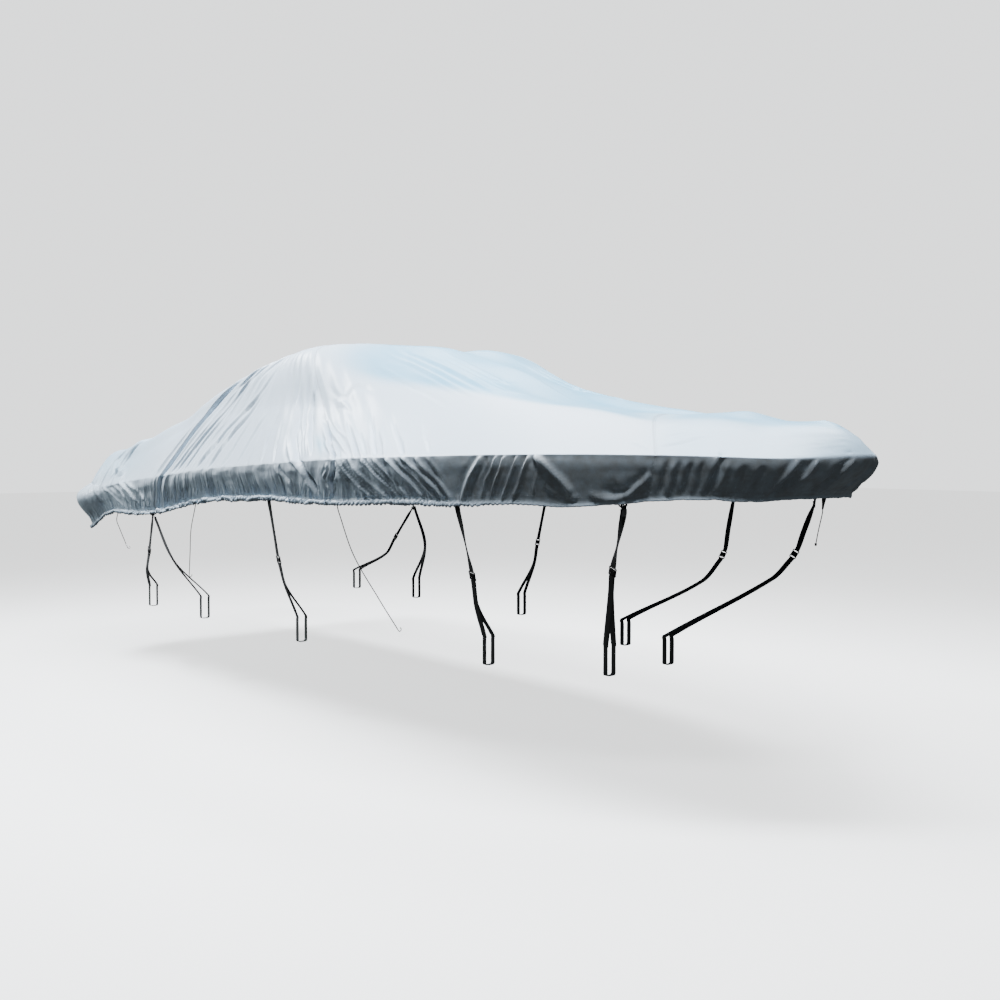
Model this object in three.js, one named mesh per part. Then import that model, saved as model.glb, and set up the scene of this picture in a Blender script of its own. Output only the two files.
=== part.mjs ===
// A fitted cloth cover for a trailered bowrider boat, with its tie-down straps and tie cords.
//
// Frame: +X to the bow, +Y to port, +Z up, in millimetres. The origin is the point under the crown
// where the top edge of the boat's windscreen holds the cloth up. The boat and its trailer are absent,
// so the cover is hollow and every strap ends in the loop that goes round the trailer's frame rail.
import * as THREE from 'three';

// ---- Driving sizes ----
const CLOTH = 3;                  // thickness of the coated cloth
const HEM_ROLL = 10;              // thickness of the turned hem with the draw cord in it
const SEAM_GAP = 0.4;             // between the butted edges of two panels
const FIT = 0.35;                 // between two pieces that touch
const HEM_FIT = 0.5;              // between the hem's slightly twisted edge and the webbing sewn to it
const WEBBING = { wide: 34, thick: 2.6 };
const RAIL = { bottomZ: -1822, high: 132, deep: 52, clear: 3, bend: 10 };  // bend is the webbing's turn
const BUCKLE = { wide: 46, high: 50, thick: 10, corner: 7, bevel: 0 };
const KNOT = { high: 34, thick: 17, corner: 12, bevel: 4 };
const STRAIGHT = 14;              // webbing that runs straight out of a buckle or a knot
const CORD = { radius: 3, sides: 8, step: 16 };
const HOOK = { radius: 2.6, sides: 6, steps: 14, shank: 20, bend: 10, tip: 9 };

// ---- The cloth's shape: one row for each rib, from the stern's centre round to the bow's tip ----
// A rib runs from the hem, over the gunwale, up the side and over the top edge to the centreline.
// bulge is how far the skirt stands out, most of all a little below the gunwale.
const RIB_COLUMNS = [
  'hemX', 'hemY', 'hemZ', 'bulge', 'gunX', 'gunY', 'gunZ',
  'sideX', 'sideY', 'sideZ', 'topX', 'topY', 'topZ', 'midX', 'midZ'];
const RIBS = [
  [-3360, 0, -1062, 225, -3280, 0, -905, -3000, 0, -665, -2800, 0, -595, -2600, -565],
  [-3360, 580, -1085, 230, -3270, 580, -910, -2980, 550, -665, -2720, 450, -595, -2450, -545],
  [-3330, 960, -1155, 215, -3240, 980, -915, -2940, 930, -670, -2600, 800, -595, -2250, -515],
  [-3250, 1100, -1240, 115, -3100, 1130, -920, -2900, 1060, -680, -2500, 950, -595, -2050, -475],
  [-2860, 1105, -1105, 30, -2840, 1165, -913, -2680, 1120, -725, -2400, 1040, -565, -1750, -415],
  [-2450, 1135, -1093, 20, -2400, 1195, -865, -2220, 1130, -665, -2050, 1040, -495, -1350, -305],
  [-1900, 1155, -1069, 20, -1700, 1220, -808, -1300, 1080, -405, -800, 920, -100, -550, -30],
  [-1100, 1175, -955, 20, -1000, 1238, -751, -880, 1085, -405, -580, 900, -25, -420, -7],
  [-220, 1188, -915, 20, -200, 1249, -711, -320, 1075, -375, -370, 875, -3, -320, -1],
  [500, 1190, -920, 15, 620, 1245, -675, 150, 1020, -385, -160, 850, 8, -180, 2],
  [1160, 1145, -893, 15, 1110, 1212, -662, 700, 985, -465, 60, 620, 4, 0, 3],
  [1500, 1088, -897, 15, 1540, 1145, -652, 1120, 800, -412, 330, 300, -25, 270, -20],
  [1820, 1008, -880, 20, 1900, 1060, -647, 1540, 620, -417, 950, 280, -240, 800, -160],
  [2160, 885, -887, 25, 2240, 935, -645, 1820, 420, -417, 1420, 220, -385, 1300, -362],
  [2470, 730, -855, 30, 2560, 775, -648, 2250, 450, -490, 2050, 200, -452, 1960, -436],
  [2665, 560, -845, 35, 2767, 590, -655, 2560, 345, -510, 2410, 150, -455, 2350, -440],
  [2790, 385, -855, 40, 2920, 410, -663, 2760, 240, -545, 2650, 120, -490, 2590, -475],
  [2872, 225, -845, 45, 3032, 228, -662, 2920, 140, -558, 2835, 75, -508, 2775, -494],
  [2912, 0, -840, 45, 3118, 0, -656, 3065, 0, -602, 2965, 0, -530, 2905, -503],
].map((row) => Object.fromEntries(RIB_COLUMNS.map((name, k) => [name, row[k]])));

// ---- The panels: between which ribs each is cut, and the height of each fold, stern to bow ----
// A fold is two grid columns wide. skirt is its height below the gunwale, side its height above.
const PANELS = [
  {
    name: 'cover_stern_panel', fromRib: 0, toRib: 6,
    skirt: [4, 6, 3, 7, 5, 9, 12, 8, 14, 7, 10, 5, 9, 6],
    side: [2, 3, 2, 4, 3, 5, 7, 3, 2, 2, 3, 2, 4, 6],
  },
  {
    name: 'cover_aft_panel', fromRib: 6, toRib: 9,
    skirt: [13, 8, 12, 9, 14, 8, 11, 7, 12, 9, 14, 10, 15],
    side: [7, 10, 6, 11, 5, 9, 4, 7, 3, 6, 10, 12, 6],
  },
  {
    name: 'cover_fore_panel', fromRib: 9, toRib: 14,
    skirt: [14, 11, 13, 10, 12, 8, 9, 10, 12, 4, 3, 6],
    side: [12, 8, 9, 5, 3, 2, 1, 1, 1, 1, 1, 2],
  },
  {
    name: 'cover_bow_panel', fromRib: 14, toRib: 18,
    skirt: [7, 5, 8, 6, 9, 5],
    side: [3, 2, 1, 1, 1, 1],
  },
];
// Creases that follow a rib: along which rib, how deep (minus is a trough), how many columns wide,
// and from which height to which (0 the hem, 1 the gunwale, 2 the centreline).
const CREASES = [
  { rib: 6, deep: -22, wide: 0.9, from: 0, to: 1.62 },
  { rib: 9, deep: -11, wide: 0.8, from: 0, to: 1.3 },
  { rib: 8.6, deep: 13, wide: 1.0, from: 0.9, to: 1.5 },
  { rib: 14, deep: -5, wide: 0.8, from: 0.2, to: 1.7 },
  { rib: 4.4, deep: 14, wide: 1.2, from: 0.1, to: 1.25 },
  { rib: 3.2, deep: -10, wide: 0.8, from: 0.3, to: 1.2 },
];
const SKIRT_ROWS = [0, 0.13, 0.42, 0.72, 1];
const UPPER_ROWS = [0.05, 0.16, 0.27, 0.37, 0.46, 0.56, 0.68, 0.83, 1];
const PORT_SHIFT = 3;             // the port folds run through the same heights from another start
// The port hem hangs higher round the stern's corner than the starboard hem does.
const PORT_CORNER = { rib: 3, lift: 110, columns: 10 };

// ---- Straps: a row for each, on the starboard side; the port side mirrors them ----
// hemX is where the webbing is sewn under the hem, knot the width of the knot tied there, if any.
// buckle and split are points on the way down, rail is where the webbing goes round the rail, turn
// twists the upper webbing (degrees) and lean shifts the port strap along the boat.
const STRAP_COLUMNS = ['name', 'hemX', 'knot', 'buckleX', 'buckleY', 'buckleZ', 'splitX', 'splitY', 'splitZ',
  'railX', 'railY', 'turn', 'lean'];
const STRAPS = [
  ['quarter', -2000, 74, -2178, 1100, -1365, -2288, 1070, -1520, -2520, 950, 0, 25],
  ['aft', -266, 0, -292, 1082, -1303, -287, 1040, -1465, -291, 950, 0, -18],
  ['mid', 1500, 0, 1485, 970, -1265, 1400, 875, -1430, 1085, 560, 26, 30],
  ['fore', 2330, 46, 2240, 725, -1200, 2150, 645, -1340, 1747, 270, 30, -22],
].map((row) => Object.fromEntries(STRAP_COLUMNS.map((name, k) => [name, row[k]])));
// The quarter strap's second leg runs forward from the same knot.
const QUARTER_LEG = { splitX: -1758, splitY: 1100, splitZ: -1415, railX: -1640 };

// ---- Tie cords, starboard only: three points below the hem, the last at the hook ----
const TIE_COLUMNS = ['name', 'hemX', 'highX', 'highY', 'highZ', 'lowX', 'lowY', 'lowZ',
  'endX', 'endY', 'endZ', 'hemHook', 'finish'];
const TIES = [
  ['tie_stern', -2790, -2755, 1112, -1170, -2711, 1110, -1225, -2600, 1100, -1355, 0, 'cord'],
  ['tie_light', -1315, -1370, 1150, -1165, -1452, 1120, -1325, -1548, 1083, -1490, 0, 'paleCord'],
  ['tie_middle', 505, 584, 1100, -1215, 692, 1000, -1465, 700, 890, -1630, 1, 'cord'],
].map((row) => Object.fromEntries(TIE_COLUMNS.map((name, k) => [name, row[k]])));
// The bow's tab narrows from the hem down to the cord that ties it.
const BOW_TAB = { top: 38, low: 14, long: 62, lean: -9 };
const BOW_CORD = { lowX: 2864, lowZ: -1070, radius: 2.5 };

const COLOURS = {
  cloth: 0xb9c6cb, webbing: 0x17181a, plastic: 0x1d1e20, cord: 0x232426, paleCord: 0xc9c6bb,
  steel: 0xa9adb0,
};

// ---- Small helpers ----
const material = (colour, roughness, metalness = 0) => (
  new THREE.MeshStandardMaterial({ color: colour, roughness, metalness }));
const vec = (x, y, z) => new THREE.Vector3(x, y, z);
const clamp01 = (t) => Math.min(Math.max(t, 0), 1);
const ease = (t) => clamp01(t) ** 2 * (3 - 2 * clamp01(t));

// A smooth curve through (knots[i], values[i]); each slope comes from the two neighbours.
function smooth(knots, values, t) {
  const last = knots.length - 1;
  let i = 0;
  while (i < last - 1 && t > knots[i + 1]) i += 1;
  const slope = (k) => {
    const a = Math.max(k - 1, 0);
    const b = Math.min(k + 1, last);
    return (values[b] - values[a]) / (knots[b] - knots[a]);
  };
  const h = knots[i + 1] - knots[i];
  const s = (t - knots[i]) / h;
  return (2 * s ** 3 - 3 * s ** 2 + 1) * values[i] + (s ** 3 - 2 * s ** 2 + s) * h * slope(i)
    + (3 * s ** 2 - 2 * s ** 3) * values[i + 1] + (s ** 3 - s ** 2) * h * slope(i + 1);
}

// ---- The cover's surface ----
// The ribs past both ends are the mirrored neighbours, so the cloth runs smoothly over the centreline.
const mirrored = (rib) => ({ ...rib, hemY: -rib.hemY, gunY: -rib.gunY, sideY: -rib.sideY, topY: -rib.topY });
const ribStep = (a, b) => (Math.hypot(b.gunX - a.gunX, b.gunY - a.gunY, b.gunZ - a.gunZ)
  + Math.hypot(b.hemX - a.hemX, b.hemY - a.hemY, b.hemZ - a.hemZ)) / 2;
const ribKnots = RIBS.reduce((knots, rib, k) => {
  knots.push(k === 0 ? 0 : knots[k - 1] + ribStep(RIBS[k - 1], rib));
  return knots;
}, []);
const lastRib = RIBS.length - 1;
const ringKnots = [-ribKnots[1], ...ribKnots, 2 * ribKnots[lastRib] - ribKnots[lastRib - 1]];
const ringRibs = [mirrored(RIBS[1]), ...RIBS, mirrored(RIBS[lastRib - 1])];

function ribAt(along) {
  return Object.fromEntries(RIB_COLUMNS.map((name) => (
    [name, smooth(ringKnots, ringRibs.map((rib) => rib[name]), along)])));
}

function alongOfRib(rib) {
  const whole = Math.min(Math.floor(rib), lastRib - 1);
  return ribKnots[whole] + (rib - whole) * (ribKnots[whole + 1] - ribKnots[whole]);
}

// The starboard point at a distance along the hem and a height: 0 the hem, 1 the gunwale, 2 the middle.
function surfacePoint(along, height) {
  const rib = ribAt(along);
  const gun = vec(rib.gunX, -rib.gunY, rib.gunZ);
  if (height <= 1) {
    const ahead = ribAt(along + 1);
    const out = vec(-(ahead.gunY - rib.gunY), -(ahead.gunX - rib.gunX), 0).normalize();
    return vec(rib.hemX, -rib.hemY, rib.hemZ).lerp(gun, height)
      .addScaledVector(out, rib.bulge * Math.sin(Math.PI * height ** 2));
  }
  const corners = [gun, vec(rib.sideX, -rib.sideY, rib.sideZ), vec(rib.topX, -rib.topY, rib.topZ),
    vec(rib.midX, 0, rib.midZ), vec(rib.topX, rib.topY, rib.topZ)];
  const knots = [0];
  for (let k = 1; k < corners.length; k += 1) {
    knots.push(knots[k - 1] + corners[k].distanceTo(corners[k - 1]));
  }
  const t = (height - 1) * knots[3];
  return vec(...['x', 'y', 'z'].map((axis) => smooth(knots, corners.map((p) => p[axis]), t)));
}

// Columns: two for each fold, evenly spaced inside each panel.
const columns = [0];
for (const panel of PANELS) {
  const start = ribKnots[panel.fromRib];
  const count = panel.skirt.length * 2;
  panel.firstColumn = columns.length - 1;
  for (let k = 1; k <= count; k += 1) {
    columns.push(start + (k / count) * (ribKnots[panel.toRib] - start));
  }
  panel.lastColumn = columns.length - 1;
}
const lastColumn = columns.length - 1;
const skirtFolds = PANELS.flatMap((panel) => panel.skirt);
const sideFolds = PANELS.flatMap((panel) => panel.side);
const rows = [...SKIRT_ROWS, ...UPPER_ROWS.map((row) => 1 + row)];
const lastRow = rows.length - 1;

function columnOfRib(rib) {
  const along = alongOfRib(rib);
  let k = 0;
  while (k < lastColumn - 1 && along > columns[k + 1]) k += 1;
  return k + (along - columns[k]) / (columns[k + 1] - columns[k]);
}

// How far the folds move the cloth out (or in) at a column and a height on one side.
function foldHeight(column, height, side) {
  const shift = side < 0 ? 0 : PORT_SHIFT;
  const pick = (list) => list[(Math.floor(column / 2) + shift) % list.length];
  const wave = column % 2 === 0 ? -1 : 1;
  const atEnds = ease(column / 3) * ease((lastColumn - column) / 3);
  const below = height <= 1 ? 0.35 + 0.65 * Math.sin(Math.PI * clamp01(0.25 + 0.65 * height)) : 0;
  const above = height > 1 ? Math.sin(Math.PI * clamp01((height - 0.98) / 0.62)) : 0;
  let total = wave * atEnds * 0.5 * (pick(skirtFolds) * below + pick(sideFolds) * above);
  for (const crease of CREASES) {
    const away = (column - columnOfRib(crease.rib)) / crease.wide;
    const inside = ease((height - crease.from) / 0.12 + 1) * ease((crease.to - height) / 0.25 + 0.4);
    total += crease.deep * Math.exp(-away * away) * inside;
  }
  return total;
}

// The grid of one side, folds and all, in rows from the hem to the centreline.
function gridOfSide(side) {
  const corner = columnOfRib(PORT_CORNER.rib);
  const plain = columns.map((along, i) => rows.map((row) => {
    const point = surfacePoint(along, row);
    const near = side > 0 ? ease(1 - Math.abs(i - corner) / PORT_CORNER.columns) : 0;
    point.z += PORT_CORNER.lift * near * Math.max(1 - row, 0);
    return point;
  }));
  return plain.map((line, i) => line.map((point, j) => {
    const aftward = plain[Math.max(i - 1, 0)][j];
    const forward = plain[Math.min(i + 1, lastColumn)][j];
    const lower = line[Math.max(j - 1, 0)];
    const upper = line[Math.min(j + 1, lastRow)];
    const out = forward.clone().sub(aftward).cross(upper.clone().sub(lower)).normalize();
    const moved = point.clone();
    if (j < lastRow) moved.addScaledVector(out, foldHeight(i, rows[j], side));
    if (i === 0 || i === lastColumn) moved.y = 0;
    moved.y *= -side;
    return moved;
  }));
}

const grids = { '-1': gridOfSide(-1), 1: gridOfSide(1) };
const keyOf = (point) => [point.x, point.y, point.z].map((v) => Math.round(v * 1000)).join(',');

// The outward normal at every point of the whole cover, before it is cut into panels.
const normals = new Map();
for (const side of [-1, 1]) {
  const grid = grids[side];
  for (let i = 0; i < lastColumn; i += 1) {
    for (let j = 0; j < lastRow; j += 1) {
      const corners = [grid[i][j], grid[i + 1][j], grid[i + 1][j + 1], grid[i][j + 1]];
      const face = corners[2].clone().sub(corners[0]).cross(corners[3].clone().sub(corners[1]));
      for (const corner of corners) {
        const sum = normals.get(keyOf(corner)) ?? vec(0, 0, 0);
        normals.set(keyOf(corner), sum.addScaledVector(face, -side));
      }
    }
  }
}
for (const normal of normals.values()) normal.normalize();

// A closed sheet: the panel's faces outside, the same faces inside, and a rim along every free edge.
function panelGeometry(panel) {
  const places = [];
  const index = new Map();
  const place = (point) => {
    const key = keyOf(point);
    if (!index.has(key)) {
      index.set(key, places.length);
      places.push(point);
    }
    return index.get(key);
  };
  const pairs = new Map();
  const faces = [];
  const corner = (side, i, j) => {
    const grid = grids[side];
    const point = grid[i][j];
    const key = keyOf(point);
    if (!pairs.has(key)) {
      const pull = vec(0, 0, 0);
      const atSeam = (i === panel.firstColumn && i > 0) || (i === panel.lastColumn && i < lastColumn);
      if (atSeam) {
        const inward = i === panel.firstColumn ? i + 1 : i - 1;
        pull.subVectors(grid[inward][j], point).setLength(SEAM_GAP / 2);
      }
      const thick = j === 0 ? HEM_ROLL : CLOTH;
      const outer = point.clone().add(pull);
      const inner = outer.clone().addScaledVector(normals.get(key), -thick);
      pairs.set(key, [place(outer), place(inner), side * (lastRow - j)]);
    }
    return pairs.get(key);
  };
  for (const side of [-1, 1]) {
    for (let i = panel.firstColumn; i < panel.lastColumn; i += 1) {
      for (let j = 0; j < lastRow; j += 1) {
        const quad = [corner(side, i, j), corner(side, i + 1, j), corner(side, i + 1, j + 1),
          corner(side, i, j + 1)];
        if (side > 0) quad.reverse();
        faces.push([quad[0], quad[1], quad[2]], [quad[0], quad[2], quad[3]]);
      }
    }
  }
  const edges = new Map();
  const triangles = [];
  for (const face of faces) {
    triangles.push(face.map((pair) => pair[0]), [face[2][1], face[1][1], face[0][1]]);
    for (let k = 0; k < 3; k += 1) {
      const from = face[k];
      const to = face[(k + 1) % 3];
      const back = `${to[0]}-${from[0]}`;
      if (edges.has(back)) edges.delete(back);
      else edges.set(`${from[0]}-${to[0]}`, [from, to]);
    }
  }
  // Both panels at a seam split their rims along the same diagonals, so the rims stay parallel.
  for (const [from, to] of edges.values()) {
    if (from[2] < to[2]) triangles.push([to[0], from[0], from[1]], [to[0], from[1], to[1]]);
    else triangles.push([to[0], from[0], to[1]], [from[0], from[1], to[1]]);
  }
  const geometry = new THREE.BufferGeometry();
  geometry.setAttribute('position', new THREE.Float32BufferAttribute(places.flatMap((p) => p.toArray()), 3));
  geometry.setIndex(triangles.flat());
  geometry.computeVertexNormals();
  return geometry;
}

// ---- Webbing, buckles, knots, cords and hooks ----
// A flat band through stations, each with its middle point, the direction of its width and, where the
// band tapers, its own width. Opposite faces are split along parallel diagonals, so that a twisted band
// keeps its thickness.
function bandGeometry(stations) {
  const positions = [];
  const triangles = [];
  stations.forEach((station, k) => {
    const before = stations[Math.max(k - 1, 0)].at;
    const after = stations[Math.min(k + 1, stations.length - 1)].at;
    const along = after.clone().sub(before).normalize();
    const across = station.across.clone().addScaledVector(along, -station.across.dot(along)).normalize();
    const through = along.clone().cross(across);
    const half = (station.wide ?? WEBBING.wide) / 2;
    for (const [a, t] of [[-1, -1], [1, -1], [1, 1], [-1, 1]]) {
      positions.push(...station.at.clone().addScaledVector(across, a * half)
        .addScaledVector(through, t * WEBBING.thick / 2).toArray());
    }
    if (k === 0) return;
    for (let c = 0; c < 4; c += 1) {
      const a = (k - 1) * 4 + c;
      const b = (k - 1) * 4 + ((c + 1) % 4);
      if (c < 2) triangles.push(a, b, b + 4, a, b + 4, a + 4);
      else triangles.push(a, b, a + 4, b, b + 4, a + 4);
    }
  });
  const end = (stations.length - 1) * 4;
  triangles.push(0, 2, 1, 0, 3, 2, end, end + 1, end + 2, end, end + 2, end + 3);
  const geometry = new THREE.BufferGeometry();
  geometry.setAttribute('position', new THREE.Float32BufferAttribute(positions, 3));
  geometry.setIndex(triangles);
  geometry.computeVertexNormals();
  return geometry;
}

// The seat under the hem nearest to a distance forward: the middle of one column's bottom edge, with
// the edge's direction and the way straight down from its face.
function hemSeat(x, side) {
  const grid = grids[side];
  let i = 0;
  while (i < lastColumn - 1 && !(grid[i][0].x <= x && grid[i + 1][0].x > x)) i += 1;
  const ends = [grid[i][0], grid[i + 1][0]];
  const middle = (point) => point.clone().addScaledVector(normals.get(keyOf(point)), -HEM_ROLL / 2);
  const at = middle(ends[0]).lerp(middle(ends[1]), 0.5);
  const across = middle(ends[1]).sub(middle(ends[0])).normalize();
  const outward = normals.get(keyOf(ends[0])).clone().add(normals.get(keyOf(ends[1]))).normalize();
  const down = across.clone().cross(outward).normalize();
  if (down.z > 0) down.negate();
  return { at, across, down };
}

// A block with round corners, its width along X, its height along Y and its thickness along Z.
function blockGeometry({ wide, high, thick, corner, bevel }) {
  const w = wide / 2 - bevel;
  const h = high / 2 - bevel;
  const r = corner - bevel;
  const outline = new THREE.Shape();
  outline.moveTo(-w + r, -h);
  outline.lineTo(w - r, -h);
  outline.absarc(w - r, -h + r, r, -Math.PI / 2, 0);
  outline.lineTo(w, h - r);
  outline.absarc(w - r, h - r, r, 0, Math.PI / 2);
  outline.lineTo(-w + r, h);
  outline.absarc(-w + r, h - r, r, Math.PI / 2, Math.PI);
  outline.lineTo(-w, -h + r);
  outline.absarc(-w + r, -h + r, r, Math.PI, Math.PI * 1.5);
  const depth = thick - 2 * bevel;
  const geometry = new THREE.ExtrudeGeometry(outline, {
    depth,
    curveSegments: 3,
    bevelEnabled: bevel > 0,
    bevelThickness: bevel,
    bevelSize: bevel,
    bevelSegments: 2,
  });
  return geometry.translate(0, 0, -depth / 2);
}

function tubeGeometry(points, radius, sides, steps) {
  const section = new THREE.Shape(Array.from({ length: sides }, (_, k) => {
    const angle = (k / sides) * Math.PI * 2;
    return new THREE.Vector2(radius * Math.cos(angle), radius * Math.sin(angle));
  }));
  const path = new THREE.CatmullRomCurve3(points, false, 'centripetal');
  return new THREE.ExtrudeGeometry(section, { steps, bevelEnabled: false, extrudePath: path });
}

// A J hook: a shank from its seat, then half a turn towards `inward` and a short upturned tip.
function hookGeometry(seat, along, inward) {
  const side = inward.clone().addScaledVector(along, -inward.dot(along)).normalize();
  const turn = seat.clone().addScaledVector(along, HOOK.shank).addScaledVector(side, HOOK.bend);
  const points = [seat.clone(), seat.clone().addScaledVector(along, HOOK.shank / 2)];
  for (const angle of [0, 45, 90, 135, 180]) {
    const a = angle * Math.PI / 180;
    points.push(turn.clone().addScaledVector(side, -HOOK.bend * Math.cos(a))
      .addScaledVector(along, HOOK.bend * Math.sin(a)));
  }
  points.push(turn.clone().addScaledVector(side, HOOK.bend).addScaledVector(along, -HOOK.tip));
  return tubeGeometry(points, HOOK.radius, HOOK.sides, HOOK.steps);
}

const group = new THREE.Group();
function add(name, geometry, finish) {
  const mesh = new THREE.Mesh(geometry, finish);
  mesh.name = name;
  group.add(mesh);
  return mesh;
}

const finishes = {
  cloth: material(COLOURS.cloth, 0.55),
  webbing: material(COLOURS.webbing, 0.85),
  plastic: material(COLOURS.plastic, 0.45),
  cord: material(COLOURS.cord, 0.8),
  paleCord: material(COLOURS.paleCord, 0.8),
  steel: material(COLOURS.steel, 0.35, 1),
};
const forward = vec(1, 0, 0);

for (const panel of PANELS) add(panel.name, panelGeometry(panel), finishes.cloth);

// The lower webbing: from its seat down to the split, where its two layers part, round the rail and back.
function railLoop(seat, tilt, across, split, railX, railY, side) {
  const gap = WEBBING.thick / 2 + RAIL.clear;
  const { bend } = RAIL;
  const chamfer = bend * (1 - Math.SQRT1_2);
  const outY = side * (railY + gap);
  const inY = side * (railY - RAIL.deep - gap);
  const railTop = RAIL.bottomZ + RAIL.high;
  const above = railTop + WEBBING.wide * 0.7;         // the layers slant only above this
  const low = RAIL.bottomZ - gap;
  const apart = tilt.clone().cross(across).setLength(WEBBING.thick / 2 + FIT / 2 + 0.15);
  if (apart.y * side < 0) apart.negate();
  const next = seat.clone().addScaledVector(tilt, STRAIGHT);
  const down = [seat, next, split].map((point) => point.clone().add(apart));
  const up = [split, next, seat].map((point) => point.clone().sub(apart));
  const round = [
    [outY, above], [outY, railTop], [outY, low + bend], [outY - side * chamfer, low + chamfer],
    [outY - side * bend, low], [inY + side * bend, low],
    [inY + side * chamfer, low + chamfer], [inY, low + bend], [inY, railTop], [inY, above],
  ].map(([y, z]) => vec(railX, y, z));
  return bandGeometry([...down, ...round, ...up].map((at) => ({ at, across: forward })));
}

// A side strap: a knot where there is one, the upper webbing to the buckle, the buckle and the lower
// webbing with its loop round the rail.
function addStrap(strap, side) {
  const name = `strap_${strap.name}_${side < 0 ? 'starboard' : 'port'}`;
  const shift = side < 0 ? 0 : strap.lean;
  const place = (x, y, z) => vec(x + shift, side * y, z);
  const hem = hemSeat(strap.hemX + shift, side);
  const beyond = (at, along, gone) => at.clone().addScaledVector(along, gone);
  const buckle = place(strap.buckleX, strap.buckleY, strap.buckleZ);
  const split = place(strap.splitX, strap.splitY, strap.splitZ);
  let top = beyond(hem.at, hem.down, HEM_FIT);
  if (strap.knot > 0) {
    const knot = add(`${name}_knot`, blockGeometry({ ...KNOT, wide: strap.knot }), finishes.webbing);
    const face = hem.across.clone().cross(hem.down);
    knot.applyMatrix4(new THREE.Matrix4().makeBasis(hem.across, hem.down, face));
    knot.position.copy(beyond(top, hem.down, KNOT.high / 2));
    top = beyond(top, hem.down, KNOT.high + FIT);
  }
  // Where two legs leave one knot, each takes half of its width.
  const aside = strap.knot > 2 * WEBBING.wide ? (WEBBING.wide + 1) / 2 : 0;
  const upperTop = top.clone().addScaledVector(hem.across, -aside * Math.sign(hem.across.x));
  const drop = beyond(upperTop, hem.down, WEBBING.wide * 0.6);
  const tilt = buckle.clone().sub(drop).normalize().add(split.clone().sub(buckle).normalize()).normalize();
  const across = forward.clone().addScaledVector(tilt, -forward.dot(tilt)).normalize();
  const clear = BUCKLE.high / 2 + FIT;
  const upperEnd = beyond(buckle, tilt, -clear);
  const turned = forward.clone().applyAxisAngle(tilt, side * strap.turn * Math.PI / 180);
  add(`${name}_upper`, bandGeometry([
    { at: upperTop, across: hem.across },
    { at: drop, across: hem.across },
    { at: drop.clone().lerp(upperEnd, 0.25), across: forward },
    { at: drop.clone().lerp(upperEnd, 0.62), across: turned },
    { at: beyond(upperEnd, tilt, -STRAIGHT), across },
    { at: upperEnd, across },
  ]), finishes.webbing);
  const body = add(`${name}_buckle`, blockGeometry(BUCKLE), finishes.plastic);
  const upward = tilt.clone().negate();
  body.applyMatrix4(new THREE.Matrix4().makeBasis(across, upward, across.clone().cross(upward)));
  body.position.copy(buckle);
  const lowerSeat = beyond(buckle, tilt, clear);
  add(`${name}_lower`, railLoop(lowerSeat, tilt, across, split, strap.railX + shift, strap.railY, side),
    finishes.webbing);
  if (aside > 0) {
    const legSeat = top.clone().addScaledVector(hem.across, aside * Math.sign(hem.across.x));
    const legSplit = place(QUARTER_LEG.splitX, QUARTER_LEG.splitY, QUARTER_LEG.splitZ);
    add(`${name}_leg`, railLoop(legSeat, hem.down, hem.across, legSplit, QUARTER_LEG.railX + shift,
      strap.railY, side), finishes.webbing);
  }
}
for (const side of [-1, 1]) {
  for (const strap of STRAPS) addStrap(strap, side);
}

// A tie: a cord from the hem, or from the hook that hangs in the hem, down to its lower hook.
function addTie(tie) {
  const { at, down } = hemSeat(tie.hemX, -1);
  let top = at.clone().addScaledVector(down, HEM_FIT);
  const inward = vec(0, 1, 0);
  if (tie.hemHook) {
    const aside = inward.clone().addScaledVector(down, -inward.dot(down)).normalize();
    const long = HOOK.shank + HOOK.bend + HOOK.radius;
    const foot = top.clone().addScaledVector(down, long).addScaledVector(aside, -HOOK.bend);
    add(`${tie.name}_hem_hook`, hookGeometry(foot, down.clone().negate(), inward), finishes.steel);
    top = foot.addScaledVector(down, FIT);
  }
  const end = vec(tie.endX, -tie.endY, tie.endZ);
  const low = vec(tie.lowX, -tie.lowY, tie.lowZ);
  const points = [top, top.clone().addScaledVector(down, CORD.step), vec(tie.highX, -tie.highY, tie.highZ),
    low, end];
  const length = new THREE.CatmullRomCurve3(points, false, 'centripetal').getLength();
  add(`${tie.name}_cord`, tubeGeometry(points, CORD.radius, CORD.sides, Math.ceil(length / CORD.step)),
    finishes[tie.finish]);
  const along = end.clone().sub(low).normalize();
  const hookFinish = tie.finish === 'cord' ? finishes.steel : finishes.paleCord;
  add(`${tie.name}_hook`, hookGeometry(end.clone().addScaledVector(along, FIT), along, inward), hookFinish);
}
for (const tie of TIES) addTie(tie);

// The bow's tab hangs from the hem at the stem, and its cord from the tab's foot.
const inside = (point) => point.clone().addScaledVector(normals.get(keyOf(point)), -HEM_ROLL);
const stem = grids['-1'][lastColumn][0];
const overTab = [-1, 1].map((side) => grids[side][lastColumn - 1][0])
  .flatMap((next) => [[stem, next], [inside(stem), inside(next)]])
  .map(([tip, next]) => tip.clone().lerp(next, BOW_TAB.top / 2 / tip.distanceTo(next)).z);
const tabTop = vec((stem.x + inside(stem).x) / 2, 0, Math.min(stem.z, inside(stem).z, ...overTab) - FIT);
const tabFoot = tabTop.clone().add(vec(BOW_TAB.lean, 0, -BOW_TAB.long));
const straight = vec(0, 0, -STRAIGHT);
add('bow_tab', bandGeometry([
  { at: tabTop, across: vec(0, 1, 0), wide: BOW_TAB.top },
  { at: tabTop.clone().add(straight), across: vec(0, 1, 0), wide: BOW_TAB.top },
  { at: tabFoot.clone().sub(straight), across: vec(0, 1, 0), wide: BOW_TAB.low },
  { at: tabFoot, across: vec(0, 1, 0), wide: BOW_TAB.low },
]), finishes.webbing);
const bowEnd = vec(BOW_CORD.lowX, 0, BOW_CORD.lowZ);
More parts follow.
